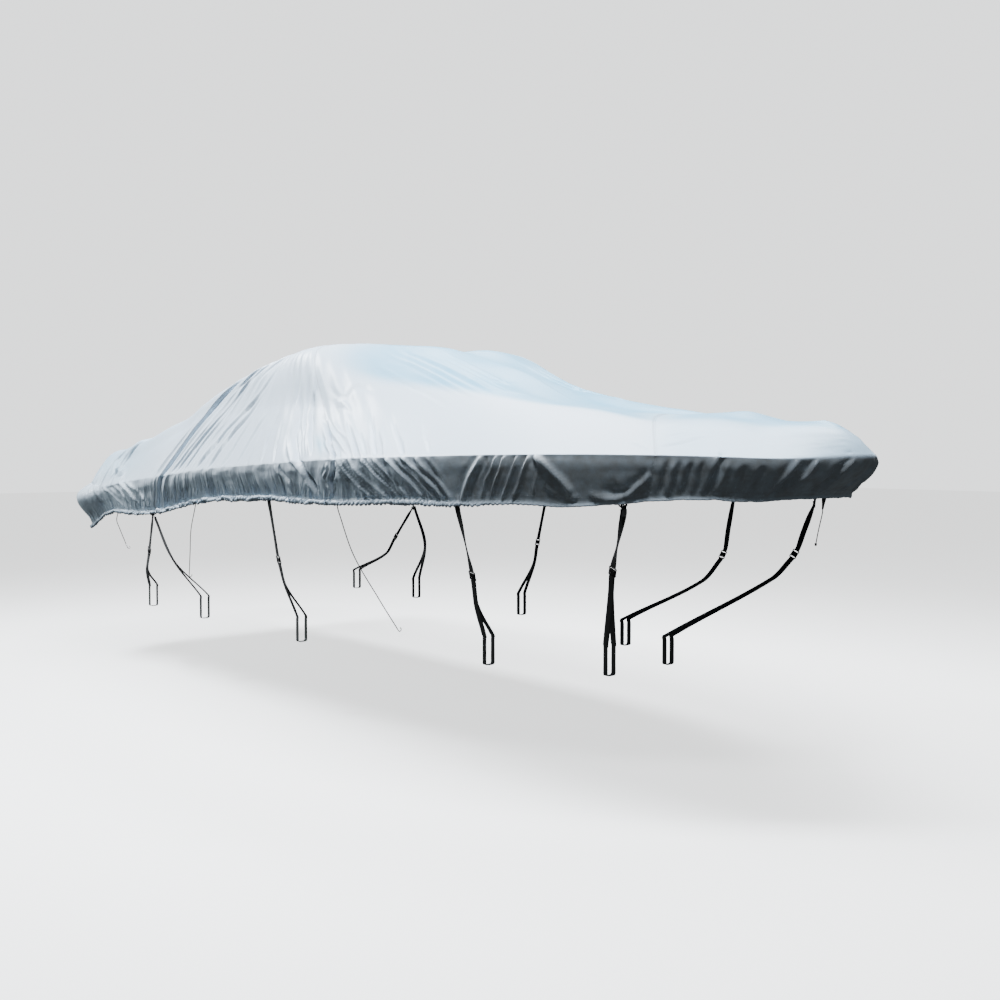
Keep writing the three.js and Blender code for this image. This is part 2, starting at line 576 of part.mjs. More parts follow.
const cordTop = tabFoot.clone().add(vec(0, 0, -FIT));
const bowRoute = [cordTop, cordTop.clone().add(straight), cordTop.clone().lerp(bowEnd, 0.6), bowEnd];
add('bow_cord', tubeGeometry(bowRoute, BOW_CORD.radius, CORD.sides,
  Math.ceil(cordTop.distanceTo(bowEnd) / CORD.step)), finishes.cord);

export default group;
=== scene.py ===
import math

import bpy
import numpy as np
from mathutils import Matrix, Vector


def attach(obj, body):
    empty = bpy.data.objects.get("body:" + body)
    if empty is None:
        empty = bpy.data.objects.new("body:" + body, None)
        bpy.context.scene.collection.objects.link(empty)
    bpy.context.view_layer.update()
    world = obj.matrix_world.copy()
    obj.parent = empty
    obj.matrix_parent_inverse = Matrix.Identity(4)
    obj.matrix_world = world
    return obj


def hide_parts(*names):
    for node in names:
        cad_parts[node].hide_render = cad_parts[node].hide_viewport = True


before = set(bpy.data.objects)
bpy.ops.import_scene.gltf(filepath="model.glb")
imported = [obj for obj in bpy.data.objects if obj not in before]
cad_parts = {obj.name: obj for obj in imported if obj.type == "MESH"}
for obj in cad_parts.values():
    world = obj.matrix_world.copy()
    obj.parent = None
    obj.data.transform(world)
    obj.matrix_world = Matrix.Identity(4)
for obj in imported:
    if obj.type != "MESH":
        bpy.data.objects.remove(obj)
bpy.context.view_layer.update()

bl_info = {
    "name": "Fitted boat cover",
    "version": (1, 0, 0),
    "blender": (4, 5, 0),
    "location": "3D View > Sidebar > Boat cover",
    "description": "Dresses the boat cover: folded cloth, webbing straps, buckles, knots and tie cords",
    "category": "Add Mesh",
}

MM = 0.001
STARBOARD, PORT = -1, 1
FORWARD, TO_PORT, UP = np.array([1.0, 0, 0]), np.array([0, 1.0, 0]), np.array([0, 0, 1.0])

# ---------------------------------------------------------------- the cloth's form
# One row for each rib, from the stern's centre round to the bow's tip, in millimetres. A rib runs from
# the hem over the gunwale, up the side and over the top edge to the centreline. bulge is how far the
# skirt stands out, most of all a little below the gunwale.
RIB_COLUMNS = ("hem_x", "hem_y", "hem_z", "bulge", "gun_x", "gun_y", "gun_z", "side_x", "side_y", "side_z",
               "top_x", "top_y", "top_z", "mid_x", "mid_z")
RIBS = np.array([
    (-3360, 0, -1062, 225, -3280, 0, -905, -3000, 0, -665, -2800, 0, -595, -2600, -565),
    (-3360, 580, -1085, 230, -3270, 580, -910, -2980, 550, -665, -2720, 450, -595, -2450, -545),
    (-3330, 960, -1155, 215, -3240, 980, -915, -2940, 930, -670, -2600, 800, -595, -2250, -515),
    (-3250, 1100, -1240, 115, -3100, 1130, -920, -2900, 1060, -680, -2500, 950, -595, -2050, -475),
    (-2860, 1105, -1105, 30, -2840, 1165, -913, -2680, 1120, -725, -2400, 1040, -565, -1750, -415),
    (-2450, 1135, -1093, 20, -2400, 1195, -865, -2220, 1130, -665, -2050, 1040, -495, -1350, -305),
    (-1900, 1155, -1069, 20, -1700, 1220, -808, -1300, 1080, -405, -800, 920, -100, -550, -30),
    (-1100, 1175, -955, 20, -1000, 1238, -751, -880, 1085, -405, -580, 900, -25, -420, -7),
    (-220, 1188, -915, 20, -200, 1249, -711, -320, 1075, -375, -370, 875, -3, -320, -1),
    (500, 1190, -920, 15, 620, 1245, -675, 150, 1020, -385, -160, 850, 8, -180, 2),
    (1160, 1145, -893, 15, 1110, 1212, -662, 700, 985, -465, 60, 620, 4, 0, 3),
    (1500, 1088, -897, 15, 1540, 1145, -652, 1120, 800, -412, 330, 300, -25, 270, -20),
    (1820, 1008, -880, 20, 1900, 1060, -647, 1540, 620, -417, 950, 280, -240, 800, -160),
    (2160, 885, -887, 25, 2240, 935, -645, 1820, 420, -417, 1420, 220, -385, 1300, -362),
    (2470, 730, -855, 30, 2560, 775, -648, 2250, 450, -490, 2050, 200, -452, 1960, -436),
    (2665, 560, -845, 35, 2767, 590, -655, 2560, 345, -510, 2410, 150, -455, 2350, -440),
    (2790, 385, -855, 40, 2920, 410, -663, 2760, 240, -545, 2650, 120, -490, 2590, -475),
    (2872, 225, -845, 45, 3032, 228, -662, 2920, 140, -558, 2835, 75, -508, 2775, -494),
    (2912, 0, -840, 45, 3118, 0, -656, 3065, 0, -602, 2965, 0, -530, 2905, -503),
], float)
LAST_RIB = len(RIBS) - 1
# The skirt drops straight from the gunwale, so past the stern's corner it stands out less than its solid.
SKIRT_BULGE = np.array((0, 0, 0, 0, 8, 8, 8, 8, 8, 7, 7, 7, 10, 11, 12, 13, 17, 21, 29), float)
PORT_CORNER = {"rib": 3, "lift": 110, "reach": 1000}   # the port hem hangs higher round the stern's corner

# The panels: between which ribs each is cut, the spacing of the mesh along the hem, the cloth's flat
# size in metres and its cut area, and the height of each fold below and above the gunwale (mm).
PANELS = (
    {"name": "cover_stern_panel", "ribs": (0, 6), "pitch": 7.2, "flat": (3.3, 3.7), "area": 9.5,
     "skirt": (4, 6, 3, 7, 5, 9, 12, 8, 14, 7, 10, 5, 9, 6),
     "side": (2, 3, 2, 4, 3, 5, 7, 3, 2, 2, 3, 2, 4, 6)},
    {"name": "cover_aft_panel", "ribs": (6, 9), "pitch": 5.4, "flat": (2.8, 4.5), "area": 5.1,
     "skirt": (13, 8, 12, 9, 14, 8, 11, 7, 12, 9, 14, 10, 15),
     "side": (7, 10, 6, 11, 5, 9, 4, 7, 3, 6, 10, 12, 6)},
    {"name": "cover_fore_panel", "ribs": (9, 14), "pitch": 6.0, "flat": (3.0, 4.3), "area": 7.6,
     "skirt": (14, 11, 13, 10, 12, 8, 9, 10, 12, 4, 3, 6),
     "side": (12, 8, 9, 5, 3, 2, 1, 1, 1, 1, 1, 2)},
    {"name": "cover_bow_panel", "ribs": (14, 18), "pitch": 6.4, "flat": (1.3, 2.2), "area": 1.7,
     "skirt": (7, 5, 8, 6, 9, 5),
     "side": (3, 2, 1, 1, 1, 1)},
)
PORT_SHIFT = 3           # the port folds run through the same heights from another start
FOLD_SHARE = 0.6         # share of the broad folds; the creases below take up the rest

# Creases, listed one by one: height of the crest (minus is a trough) and half width in mm, how much of its
# length fades at each end, and its course as (rib, height) pairs: 0 is the hem, 1 the gunwale, 2 the middle.
CREASE_COLUMNS = ("depth", "wide", "fade_in", "fade_out", "course")
CREASES = (
    # the stern's corner: a fan of folds that falls from the gunwale to the hem
    (16, 15, 0.15, 0.1, ((3.9, 1.2), (4.27, 1.09), (4.85, 1.0), (5.27, 0.49), (5.5, 0.12))),
    (12, 11, 0.2, 0.1, ((4.75, 1.06), (5.05, 0.8), (5.24, 0.55), (5.38, 0.15))),
    (11, 13, 0.2, 0.1, ((4.03, 1.03), (4.39, 0.63), (4.8, 0.1))),
    (15, 13, 0.15, 0.1, ((5.0, 1.02), (5.3, 0.75), (5.55, 0.45), (5.78, 0.1))),
    (9, 10, 0.2, 0.2, ((4.5, 1.0), (4.8, 0.7), (5.05, 0.35), (5.2, 0.1))),
    (-10, 15, 0.3, 0.3, ((3.35, 1.23), (4.03, 1.12), (4.4, 0.95), (4.7, 0.6))),
    (9, 13, 0.3, 0.2, ((3.2, 1.15), (3.6, 0.95), (3.9, 0.55), (4.1, 0.1))),
    (-9, 16, 0.3, 0.3, ((3.0, 1.2), (3.3, 0.9), (3.5, 0.5))),
    (-8, 13, 0.3, 0.2, ((4.6, 1.0), (4.95, 0.55), (5.1, 0.12))),
    (9, 12, 0.3, 0.3, ((2.85, 1.3), (3.1, 1.1), (3.3, 0.9))),
    (11, 14, 0.3, 0.15, ((4.35, 1.42), (4.25, 1.3), (4.2, 1.18), (4.3, 1.04), (4.5, 0.8))),
    (-9, 11, 0.3, 0.2, ((4.5, 1.36), (4.42, 1.22), (4.45, 1.06))),
    (10, 12, 0.3, 0.2, ((3.75, 1.34), (3.7, 1.18), (3.85, 1.03), (4.05, 0.8))),
    (9, 26, 0.3, 0.3, ((2.2, 1.1), (2.5, 0.75), (2.6, 0.3))),
    (-9, 22, 0.3, 0.3, ((1.5, 1.15), (1.6, 0.7), (1.65, 0.2))),
    (10, 24, 0.3, 0.3, ((0.75, 1.1), (0.8, 0.7), (0.8, 0.15))),
    # the seam between the stern and aft panels, drawn down into a deep valley, and what runs beside it
    (-24, 10, 0.02, 0.3, ((6, 0.0), (6, 0.5), (6, 1.0), (6, 1.2), (6, 1.42), (6, 1.7))),
    (-13, 34, 0.02, 0.4, ((6, 0.0), (6, 0.5), (6, 1.0), (6, 1.2), (6, 1.42), (6, 1.75))),
    (13, 22, 0.1, 0.4, ((6.18, 0.1), (6.16, 0.8), (6.16, 1.1), (6.2, 1.35))),
    (10, 16, 0.2, 0.4, ((5.86, 0.9), (5.84, 1.1), (5.88, 1.3))),
    (-10, 9, 0.1, 0.4, ((6.23, 1.0), (6.26, 1.05), (6.33, 1.14), (6.5, 1.24))),
    (-12, 10, 0.1, 0.5, ((6.36, 0.98), (6.4, 1.08), (6.52, 1.2), (6.75, 1.33))),
    (-10, 9, 0.1, 0.5, ((6.55, 1.0), (6.57, 1.06), (6.66, 1.16), (6.85, 1.26))),
    (-17, 11, 0.08, 0.5, ((6.84, 0.99), (6.88, 1.04), (7.02, 1.11), (7.25, 1.21), (7.5, 1.3), (7.65, 1.42))),
    (-17, 11, 0.08, 0.5, ((7.08, 0.98), (7.14, 1.04), (7.28, 1.13), (7.43, 1.21), (7.6, 1.32))),
    (9, 12, 0.2, 0.5, ((6.97, 1.0), (7.04, 1.06), (7.18, 1.16), (7.36, 1.26))),
    (8, 10, 0.2, 0.5, ((6.7, 1.0), (6.74, 1.06), (6.86, 1.16), (7.0, 1.24))),
    (-10, 9, 0.1, 0.5, ((7.33, 1.0), (7.38, 1.04), (7.49, 1.13), (7.6, 1.21))),
    (-8, 10, 0.3, 0.5, ((6.25, 1.35), (6.5, 1.42), (6.8, 1.52))),
    (-8, 10, 0.3, 0.5, ((6.7, 1.3), (6.9, 1.4), (7.15, 1.5))),
    (-8, 11, 0.3, 0.5, ((7.2, 1.34), (7.4, 1.46), (7.6, 1.6))),
    (-9, 9, 0.2, 0.4, ((7.62, 1.0), (7.66, 1.07), (7.76, 1.16), (7.86, 1.24))),
    (7, 9, 0.2, 0.4, ((7.8, 0.98), (7.8, 1.06), (7.85, 1.15))),
    (-10, 9, 0.2, 0.4, ((8.02, 0.98), (8.0, 1.05), (8.01, 1.12), (8.1, 1.24))),
    (-8, 8, 0.2, 0.4, ((8.2, 1.0), (8.18, 1.08), (8.22, 1.2))),
    # the long bright fold that comes off the crown's corner and crosses the gunwale to the hem
    (20, 15, 0.25, 0.05, ((8.66, 1.42), (8.5, 1.3), (8.42, 1.18), (8.37, 1.09), (8.43, 1.03), (8.53, 0.86),
                          (8.66, 0.5), (8.83, 0.04))),
    (-17, 13, 0.25, 0.1, ((8.62, 1.33), (8.52, 1.22), (8.47, 1.12), (8.51, 1.04), (8.6, 0.88), (8.73, 0.5),
                          (8.88, 0.1))),
    (-10, 12, 0.3, 0.3, ((8.95, 1.46), (8.75, 1.35), (8.66, 1.24), (8.63, 1.1))),
    (-13, 10, 0.3, 0.15, ((9.05, 1.46), (8.93, 1.38), (8.81, 1.31), (8.75, 1.2), (8.71, 1.02))),
    (9, 9, 0.3, 0.2, ((8.8, 1.4), (8.72, 1.3), (8.66, 1.16), (8.64, 1.02))),
    (-8, 8, 0.3, 0.3, ((8.58, 1.2), (8.55, 1.1), (8.57, 1.0))),
    (-9, 9, 0.2, 0.3, ((8.27, 1.0), (8.3, 0.8), (8.42, 0.5), (8.5, 0.2))),
    (9, 8, 0.2, 0.3, ((8.2, 0.98), (8.24, 0.75), (8.36, 0.45), (8.42, 0.15))),
    # puckers at the seam between the aft and fore panels
    (-18, 12, 0.1, 0.3, ((9, 0.02), (9, 0.5), (9, 1.0), (9.0, 1.15), (9.02, 1.3))),
    (14, 11, 0.3, 0.3, ((8.97, 1.3), (9.06, 1.2), (9.18, 1.11), (9.3, 1.02))),
    (-12, 9, 0.3, 0.3, ((9.03, 1.27), (9.13, 1.17), (9.22, 1.1), (9.36, 1.02))),
    (11, 8, 0.3, 0.3, ((8.93, 1.16), (9.02, 1.09), (9.08, 1.01))),
    (-11, 8, 0.3, 0.3, ((9.06, 1.14), (9.1, 1.07), (9.11, 0.99))),
    (10, 8, 0.3, 0.3, ((8.9, 1.1), (8.96, 1.06), (9.0, 0.99))),
    (9, 8, 0.3, 0.3, ((9.12, 1.24), (9.24, 1.18), (9.36, 1.12))),
    (12, 9, 0.2, 0.3, ((8.86, 0.95), (8.93, 0.8), (8.9, 0.62), (8.97, 0.45))),
    (-12, 9, 0.2, 0.3, ((8.95, 0.9), (9.02, 0.72), (8.97, 0.5), (9.06, 0.3))),
    (11, 8, 0.2, 0.3, ((9.08, 0.6), (9.0, 0.42), (9.08, 0.22))),
    (10, 8, 0.2, 0.3, ((8.9, 0.4), (8.98, 0.28), (8.95, 0.12))),
    # folds that stand on the gunwale forward of that seam
    (-13, 10, 0.4, 0.12, ((9.44, 1.27), (9.44, 1.12), (9.43, 0.99))),
    (9, 9, 0.4, 0.12, ((9.53, 1.24), (9.53, 1.1), (9.51, 0.99))),
    (-8, 8, 0.4, 0.12, ((9.62, 1.2), (9.63, 1.1), (9.6, 0.99))),
    (-15, 10, 0.4, 0.12, ((9.87, 1.33), (9.84, 1.17), (9.77, 1.0))),
    (11, 9, 0.4, 0.12, ((9.97, 1.24), (9.96, 1.12), (9.91, 1.0))),
    (-14, 10, 0.4, 0.12, ((10.15, 1.33), (10.2, 1.15), (10.24, 1.0))),
    (8, 9, 0.4, 0.12, ((10.24, 1.24), (10.29, 1.12), (10.33, 1.0))),
    (-10, 10, 0.4, 0.15, ((10.6, 1.28), (10.63, 1.12), (10.68, 1.0))),
    (-6, 14, 0.4, 0.3, ((9.2, 1.4), (9.5, 1.36), (9.8, 1.42), (10.1, 1.4))),
    (6, 10, 0.4, 0.3, ((9.15, 1.3), (9.4, 1.34), (9.6, 1.3))),
    # the skirt there: ridges that lean forward as they fall
    (11, 9, 0.1, 0.15, ((8.97, 0.98), (9.11, 0.75), (9.3, 0.42), (9.42, 0.08))),
    (17, 11, 0.06, 0.1, ((9.03, 1.01), (9.24, 0.69), (9.38, 0.44), (9.6, 0.08))),
    (12, 8, 0.08, 0.1, ((9.13, 0.99), (9.34, 0.68), (9.5, 0.42), (9.68, 0.08))),
    (16, 11, 0.06, 0.1, ((9.24, 1.0), (9.45, 0.66), (9.61, 0.41), (9.8, 0.08))),
    (17, 11, 0.06, 0.1, ((9.47, 1.0), (9.68, 0.68), (9.8, 0.41), (9.96, 0.08))),
    (12, 8, 0.08, 0.1, ((9.6, 1.0), (9.77, 0.68), (9.88, 0.4), (10.02, 0.08))),
    (14, 10, 0.06, 0.1, ((9.72, 1.0), (9.86, 0.68), (9.96, 0.37), (10.1, 0.08))),
    (19, 13, 0.06, 0.1, ((9.9, 1.0), (10.06, 0.71), (10.22, 0.44), (10.4, 0.08))),
    (12, 8, 0.08, 0.1, ((10.06, 1.0), (10.24, 0.71), (10.42, 0.44), (10.6, 0.08))),
    (17, 11, 0.06, 0.1, ((10.2, 1.0), (10.4, 0.71), (10.57, 0.46), (10.8, 0.08))),
    (14, 10, 0.06, 0.1, ((10.43, 1.0), (10.58, 0.71), (10.72, 0.51), (10.95, 0.08))),
    (8, 9, 0.15, 0.4, ((10.6, 1.0), (10.76, 0.71), (10.9, 0.4))),
    # ridges that lean aft as they fall, and the wedge forward of them
    (16, 16, 0.08, 0.05, ((11.52, 1.0), (11.45, 0.78), (11.31, 0.54), (11.12, 0.06))),
    (-9, 12, 0.1, 0.1, ((11.6, 1.0), (11.53, 0.76), (11.42, 0.5), (11.26, 0.08))),
    (12, 8, 0.08, 0.15, ((11.77, 1.0), (11.7, 0.73), (11.6, 0.49), (11.5, 0.1))),
    (13, 8, 0.08, 0.12, ((11.9, 1.0), (11.84, 0.69), (11.75, 0.44), (11.66, 0.1))),
    (14, 8, 0.08, 0.1, ((12.1, 1.0), (12.04, 0.73), (11.97, 0.47), (11.87, 0.08))),
    (17, 10, 0.06, 0.1, ((12.27, 1.0), (12.22, 0.73), (12.15, 0.44), (12.05, 0.08))),
    (9, 9, 0.2, 0.2, ((12.44, 0.85), (12.41, 0.6), (12.36, 0.15))),
    (22, 16, 0.05, 0.12, ((12.33, 1.0), (12.53, 0.78), (12.74, 0.54), (12.95, 0.22))),
    (9, 12, 0.1, 0.2, ((12.38, 0.9), (12.5, 0.66), (12.66, 0.42), (12.9, 0.24))),
    (10, 14, 0.2, 0.2, ((12.5, 0.42), (12.65, 0.28), (12.85, 0.2), (13.05, 0.16))),
    # fore skirt, drawn to the fore strap
    (16, 13, 0.15, 0.12, ((13.98, 0.62), (13.92, 0.46), (13.83, 0.34), (13.66, 0.1))),
    (12, 14, 0.3, 0.2, ((13.1, 0.26), (13.3, 0.16), (13.5, 0.12), (13.7, 0.2))),
    (9, 10, 0.3, 0.2, ((13.25, 0.12), (13.45, 0.08), (13.65, 0.12), (13.85, 0.3))),
    (-7, 22, 0.3, 0.3, ((13.3, 0.34), (13.55, 0.24), (13.75, 0.3))),
    # bow skirt: soft upright folds
    (-9, 14, 0.2, 0.2, ((14.2, 0.92), (14.2, 0.5), (14.2, 0.08))),
    (8, 14, 0.2, 0.2, ((14.3, 0.9), (14.3, 0.5), (14.3, 0.08))),
    (-10, 14, 0.2, 0.2, ((14.4, 0.92), (14.4, 0.49), (14.4, 0.08))),
    (-11, 14, 0.2, 0.2, ((14.59, 0.9), (14.59, 0.49), (14.59, 0.08))),
    (-9, 13, 0.2, 0.2, ((14.76, 0.95), (14.78, 0.54), (14.82, 0.08))),
    (-14, 13, 0.3, 0.1, ((15.06, 1.1), (15.06, 0.88), (15.03, 0.58), (14.97, 0.06))),
    (9, 14, 0.2, 0.2, ((15.2, 0.95), (15.2, 0.5), (15.14, 0.1))),
    (-10, 16, 0.2, 0.2, ((15.52, 0.88), (15.54, 0.47), (15.56, 0.08))),
    (-11, 15, 0.2, 0.2, ((15.89, 0.85), (15.89, 0.49), (15.89, 0.1))),
    (10, 13, 0.2, 0.2, ((16.6, 1.0), (16.47, 0.68), (16.35, 0.36), (16.2, 0.08))),
    (-11, 18, 0.2, 0.2, ((16.75, 1.0), (16.68, 0.68), (16.6, 0.36), (16.4, 0.08))),
    (15, 10, 0.1, 0.25, ((17.0, 0.98), (16.93, 0.78), (16.92, 0.6), (16.65, 0.12))),
    (-11, 16, 0.2, 0.2, ((17.5, 0.95), (17.46, 0.69), (17.5, 0.39), (17.4, 0.1))),
    (15, 10, 0.1, 0.25, ((17.72, 0.98), (17.6, 0.78), (17.62, 0.5), (17.7, 0.05))),
    # small pulls on the fore deck beside the seam to the bow panel, and that seam
    (-2.5, 9, 0.1, 0.1, ((14, 0.0), (14, 0.5), (14, 1.0), (14, 1.5), (14, 2.0))),
    (-6, 9, 0.3, 0.4, ((14.02, 1.06), (14.2, 1.12), (14.4, 1.16), (14.8, 1.26))),
    (5, 8, 0.3, 0.4, ((14.02, 1.1), (14.25, 1.18), (14.5, 1.24), (14.9, 1.3))),
    (-5, 8, 0.3, 0.4, ((14.0, 1.16), (14.3, 1.26), (14.6, 1.33))),
    (-5, 8, 0.3, 0.4, ((14.0, 1.3), (14.2, 1.4), (14.45, 1.46))),
    (5, 8, 0.3, 0.4, ((13.95, 1.06), (13.8, 1.12), (13.6, 1.16))),
    # the windscreen's slope: fine pulls that run down and forward from the crown
    (8, 12, 0.3, 0.3, ((10.18, 1.69), (10.73, 1.62), (11.04, 1.52), (11.4, 1.42))),
    (-8, 12, 0.3, 0.3, ((10.3, 1.76), (10.9, 1.68), (11.3, 1.58), (11.6, 1.48))),
    (8, 11, 0.3, 0.3, ((10.75, 1.74), (11.27, 1.65), (11.69, 1.52))),
    (-7, 11, 0.3, 0.3, ((10.85, 1.8), (11.4, 1.74), (11.95, 1.6))),
    (8, 11, 0.3, 0.3, ((11.0, 1.86), (11.59, 1.82), (12.16, 1.78))),
    (-7, 11, 0.3, 0.3, ((11.2, 1.6), (11.7, 1.7), (12.1, 1.8))),
    (7, 11, 0.3, 0.3, ((11.3, 1.66), (11.87, 1.78), (12.2, 1.88))),
    (7, 10, 0.3, 0.3, ((11.45, 1.54), (11.9, 1.6), (12.44, 1.7))),
    (-7, 10, 0.3, 0.3, ((10.43, 1.5), (10.73, 1.42), (10.95, 1.33))),
    (7, 12, 0.3, 0.3, ((10.1, 1.58), (10.5, 1.5), (10.8, 1.44))),
    (6, 10, 0.3, 0.3, ((10.6, 1.58), (10.9, 1.5), (11.2, 1.42))),
    (-6, 10, 0.3, 0.3, ((10.5, 1.7), (10.9, 1.6), (11.3, 1.5))),
)
# Where the cloth stands higher or lower on what is under it: rib, height, how high and how far (mm), side.
BOTH_SIDES = 0
BUMPS = (
    (15.5, 2.0, 20, 100, BOTH_SIDES),
    (9.0, 1.93, 8, 150, BOTH_SIDES),
    (2.85, 1.04, 50, 330, STARBOARD),
    (11.3, 1.64, -38, 420, PORT),
    (17.8, 1.3, 14, 240, BOTH_SIDES),
    (17.6, 1.5, 15, 160, BOTH_SIDES),
    (10.8, 1.93, 16, 160, BOTH_SIDES),
    (5.35, 1.36, -22, 200, STARBOARD),
    (7.0, 1.5, -22, 150, STARBOARD),
)

# Small pleats drawn up by the hem's cord: from which rib, how far apart, how high, how wide and how long
# up the skirt (mm), and how far they lean forward as they fall.
PLEAT_COLUMNS = ("rib", "apart", "high", "wide", "long", "lean")
PLEATS = np.array([
    (0, 95, 5, 15, 120, 0), (3, 60, 8, 12, 140, 20), (5, 42, 11, 9, 160, 30), (6.1, 25, 14, 8, 250, 0),
    (7.2, 24, 14, 8, 170, 10), (8.3, 26, 13, 8, 130, 25), (9.2, 42, 9, 9, 80, 45), (11, 44, 7, 9, 70, 20),
    (11.6, 60, 5, 10, 70, -20), (12.6, 110, 2.5, 14, 60, 0), (14.2, 75, 3.5, 13, 150, 0),
    (18, 90, 3, 14, 110, -10),
], float)
# The turned hem with its draw cord: radius of the roll, share of it that the gathers take, and how far
# the hem wanders up and down (mm).
HEM_COLUMNS = ("rib", "roll", "gather", "wander")
HEM = np.array([
    (0, 9, 0.3, 5), (3, 10, 0.45, 7), (5.5, 12, 0.55, 5), (7, 14, 0.6, 6), (8.3, 14, 0.5, 6),
    (9.2, 13, 0.35, 3), (11, 12, 0.35, 3), (11.9, 8, 0.3, 2), (12.8, 6, 0.08, 2), (18, 5.5, 0.06, 2),
], float)
GATHER_PITCH = 30        # distance between two gathers along the hem (mm)
SKIRT_DEEP = 230.0       # mean drop of the skirt from the gunwale to the hem (mm)
# How tightly the gunwale holds the cloth against it, by rib: 1 lets no crease cross it.
HELD_RIBS = (0, 3, 4, 8, 8.4, 9.1, 9.6, 18)
HELD_SHARES = (0.3, 0.3, 0.5, 0.5, 0, 0.1, 0.9, 1)

PORT_WANDER = 0.09       # how far a port crease stands from its starboard one, at most (ribs)
PORT_DEPTHS = (0.7, 1.15)  # its depth as a share of the starboard one's
CREASE_WANDER = 0.012    # how far a crease strays from its course (ribs)
PLAIN_ENDS = (250, 120)  # the folds die away towards the centreline at the stern and the bow (mm)

# Rows of the mesh, by height: the skirt, a narrow strip above the gunwale, and the rest.
SKIRT_HEIGHTS = np.concatenate([[0.03, 0.07], np.linspace(0.11, 0.965, 17), [0.985, 1.0]])
NEAR_HEIGHTS = np.array([1.008, 1.02, 1.036, 1.052, 1.07, 1.09])
UPPER_HEIGHTS = np.concatenate([np.linspace(1.11, 1.95, 68), [1.966, 1.98, 1.99, 2.0]])
ROLL_TURNS = np.radians(np.linspace(-62, 200, 12))    # round the hem's roll, from its outer side
TUCK = 18                # how far the hem's inner edge goes back up inside (mm)

# ---------------------------------------------------------------- straps and ties (mm, starboard side)
STRAP_COLUMNS = ("name", "buckle_x", "buckle_y", "buckle_z", "split_x", "split_y", "split_z",
                 "rail_x", "rail_y", "turn", "lean")
STRAPS = [dict(zip(STRAP_COLUMNS, row)) for row in (
    ("quarter", -2178, 1100, -1365, -2288, 1070, -1520, -2520, 950, 0, 25),
    ("aft", -292, 1082, -1303, -287, 1040, -1465, -291, 950, 0, -18),
    ("mid", 1485, 970, -1265, 1400, 875, -1430, 1085, 560, 26, 30),
    ("fore", 2240, 725, -1200, 2150, 645, -1340, 1747, 270, 30, -22),
)]
QUARTER_LEG = {"split": (-1758, 1100, -1415), "rail_x": -1640}
RAIL = {"bottom": -1822, "high": 132, "deep": 52, "clear": 3, "bend": 10}
BUCKLE = {"wide": 46, "high": 50, "thick": 10}
KNOT = {"yarn": 5.5, "deep": 4.5}     # half the thickness of the twisted webbing, and how deep it crosses
HOOK = {"radius": 2.6, "shank": 20, "bend": 10, "tip": 9, "eye": 4.2, "eye_wire": 1.6, "eye_down": 3}
BOW_CORD = {"end": (2864, 0, -1070), "radius": 2.5, "knot_yarn": 2.2, "knot_half": (1.9, 1.9, 2.2)}
CORD_SIDES = 8           # points round the solid's cords
SEAM_RIBS = (6, 9, 14)
SEAM_ROWS = (-9, -4, 4)  # stitching beside each seam (mm)
SEAM_REACH = (0.12, 1.97)    # heights between which a seam's stitching runs
HEM_STITCHES = 0.17      # height of the row that closes the hem's casing
STITCH = {"pitch": 10, "length": 7, "radius": 0.9}
KNOT_TAIL = ((0, 0, 20), (30, 4, 22), (55, 6, 22))  # the loose end: how far down, out and how wide (mm)
BOW_TAB_WIDE = (38, 20, 13)  # at the hem, two thirds down and at its foot (mm)
STRAIGHT = 14            # webbing that runs straight out of a buckle or a knot (mm)
INTO_BUCKLE = 6          # webbing that is hidden in a buckle (mm)
INTO_HEM = 12            # how far the top of a sewn strap reaches up inside the hem (mm)
WEBBING_STEP = 0.006     # between two sections of webbing that bends round the rail, in metres
FIT = 0.35               # between two pieces that touch (mm)
TIE_COLUMNS = ("name", "high_x", "high_y", "high_z", "low_x", "low_y", "low_z", "end_x", "end_y", "end_z")
TIES = [dict(zip(TIE_COLUMNS, row)) for row in (
    ("tie_stern", -2755, 1112, -1170, -2711, 1110, -1225, -2600, 1100, -1355),
    ("tie_light", -1370, 1150, -1165, -1452, 1120, -1325, -1548, 1083, -1490),
    ("tie_middle", 584, 1100, -1215, 692, 1000, -1465, 700, 890, -1630),
)]


# ---------------------------------------------------------------- curves and the surface
def hermite(knots, values, t):
    """A smooth curve through values at knots; each slope comes from the two neighbours."""
    slopes = np.empty_like(values)
    slopes[1:-1] = (values[2:] - values[:-2]) / (knots[2:] - knots[:-2])[:, None]
    slopes[0] = (values[1] - values[0]) / (knots[1] - knots[0])
    slopes[-1] = (values[-1] - values[-2]) / (knots[-1] - knots[-2])
    i = np.clip(np.searchsorted(knots, t) - 1, 0, len(knots) - 2)
    h = (knots[i + 1] - knots[i])[:, None]
    s = (t - knots[i])[:, None] / h
    return ((2 * s**3 - 3 * s**2 + 1) * values[i] + (s**3 - 2 * s**2 + s) * h * slopes[i]
            + (3 * s**2 - 2 * s**3) * values[i + 1] + (s**3 - s**2) * h * slopes[i + 1])


def ease(t):
    """A soft step from 0 to 1."""
    t = np.clip(t, 0, 1)
    return t * t * (3 - 2 * t)


def unit(vector):
    """A vector brought to length 1."""
    return vector / np.linalg.norm(vector)


def distances(points):
    """How far along its line each point lies."""
    return np.concatenate([[0], np.cumsum(np.linalg.norm(np.diff(points, axis=0), axis=1))])


def column(name):
    """The place of a column in the table of ribs."""
    return RIB_COLUMNS.index(name)


def columns_of(part):
    """The three columns of a part of the ribs, such as hem or gun."""
    return slice(column(f"{part}_x"), column(f"{part}_x") + 3)


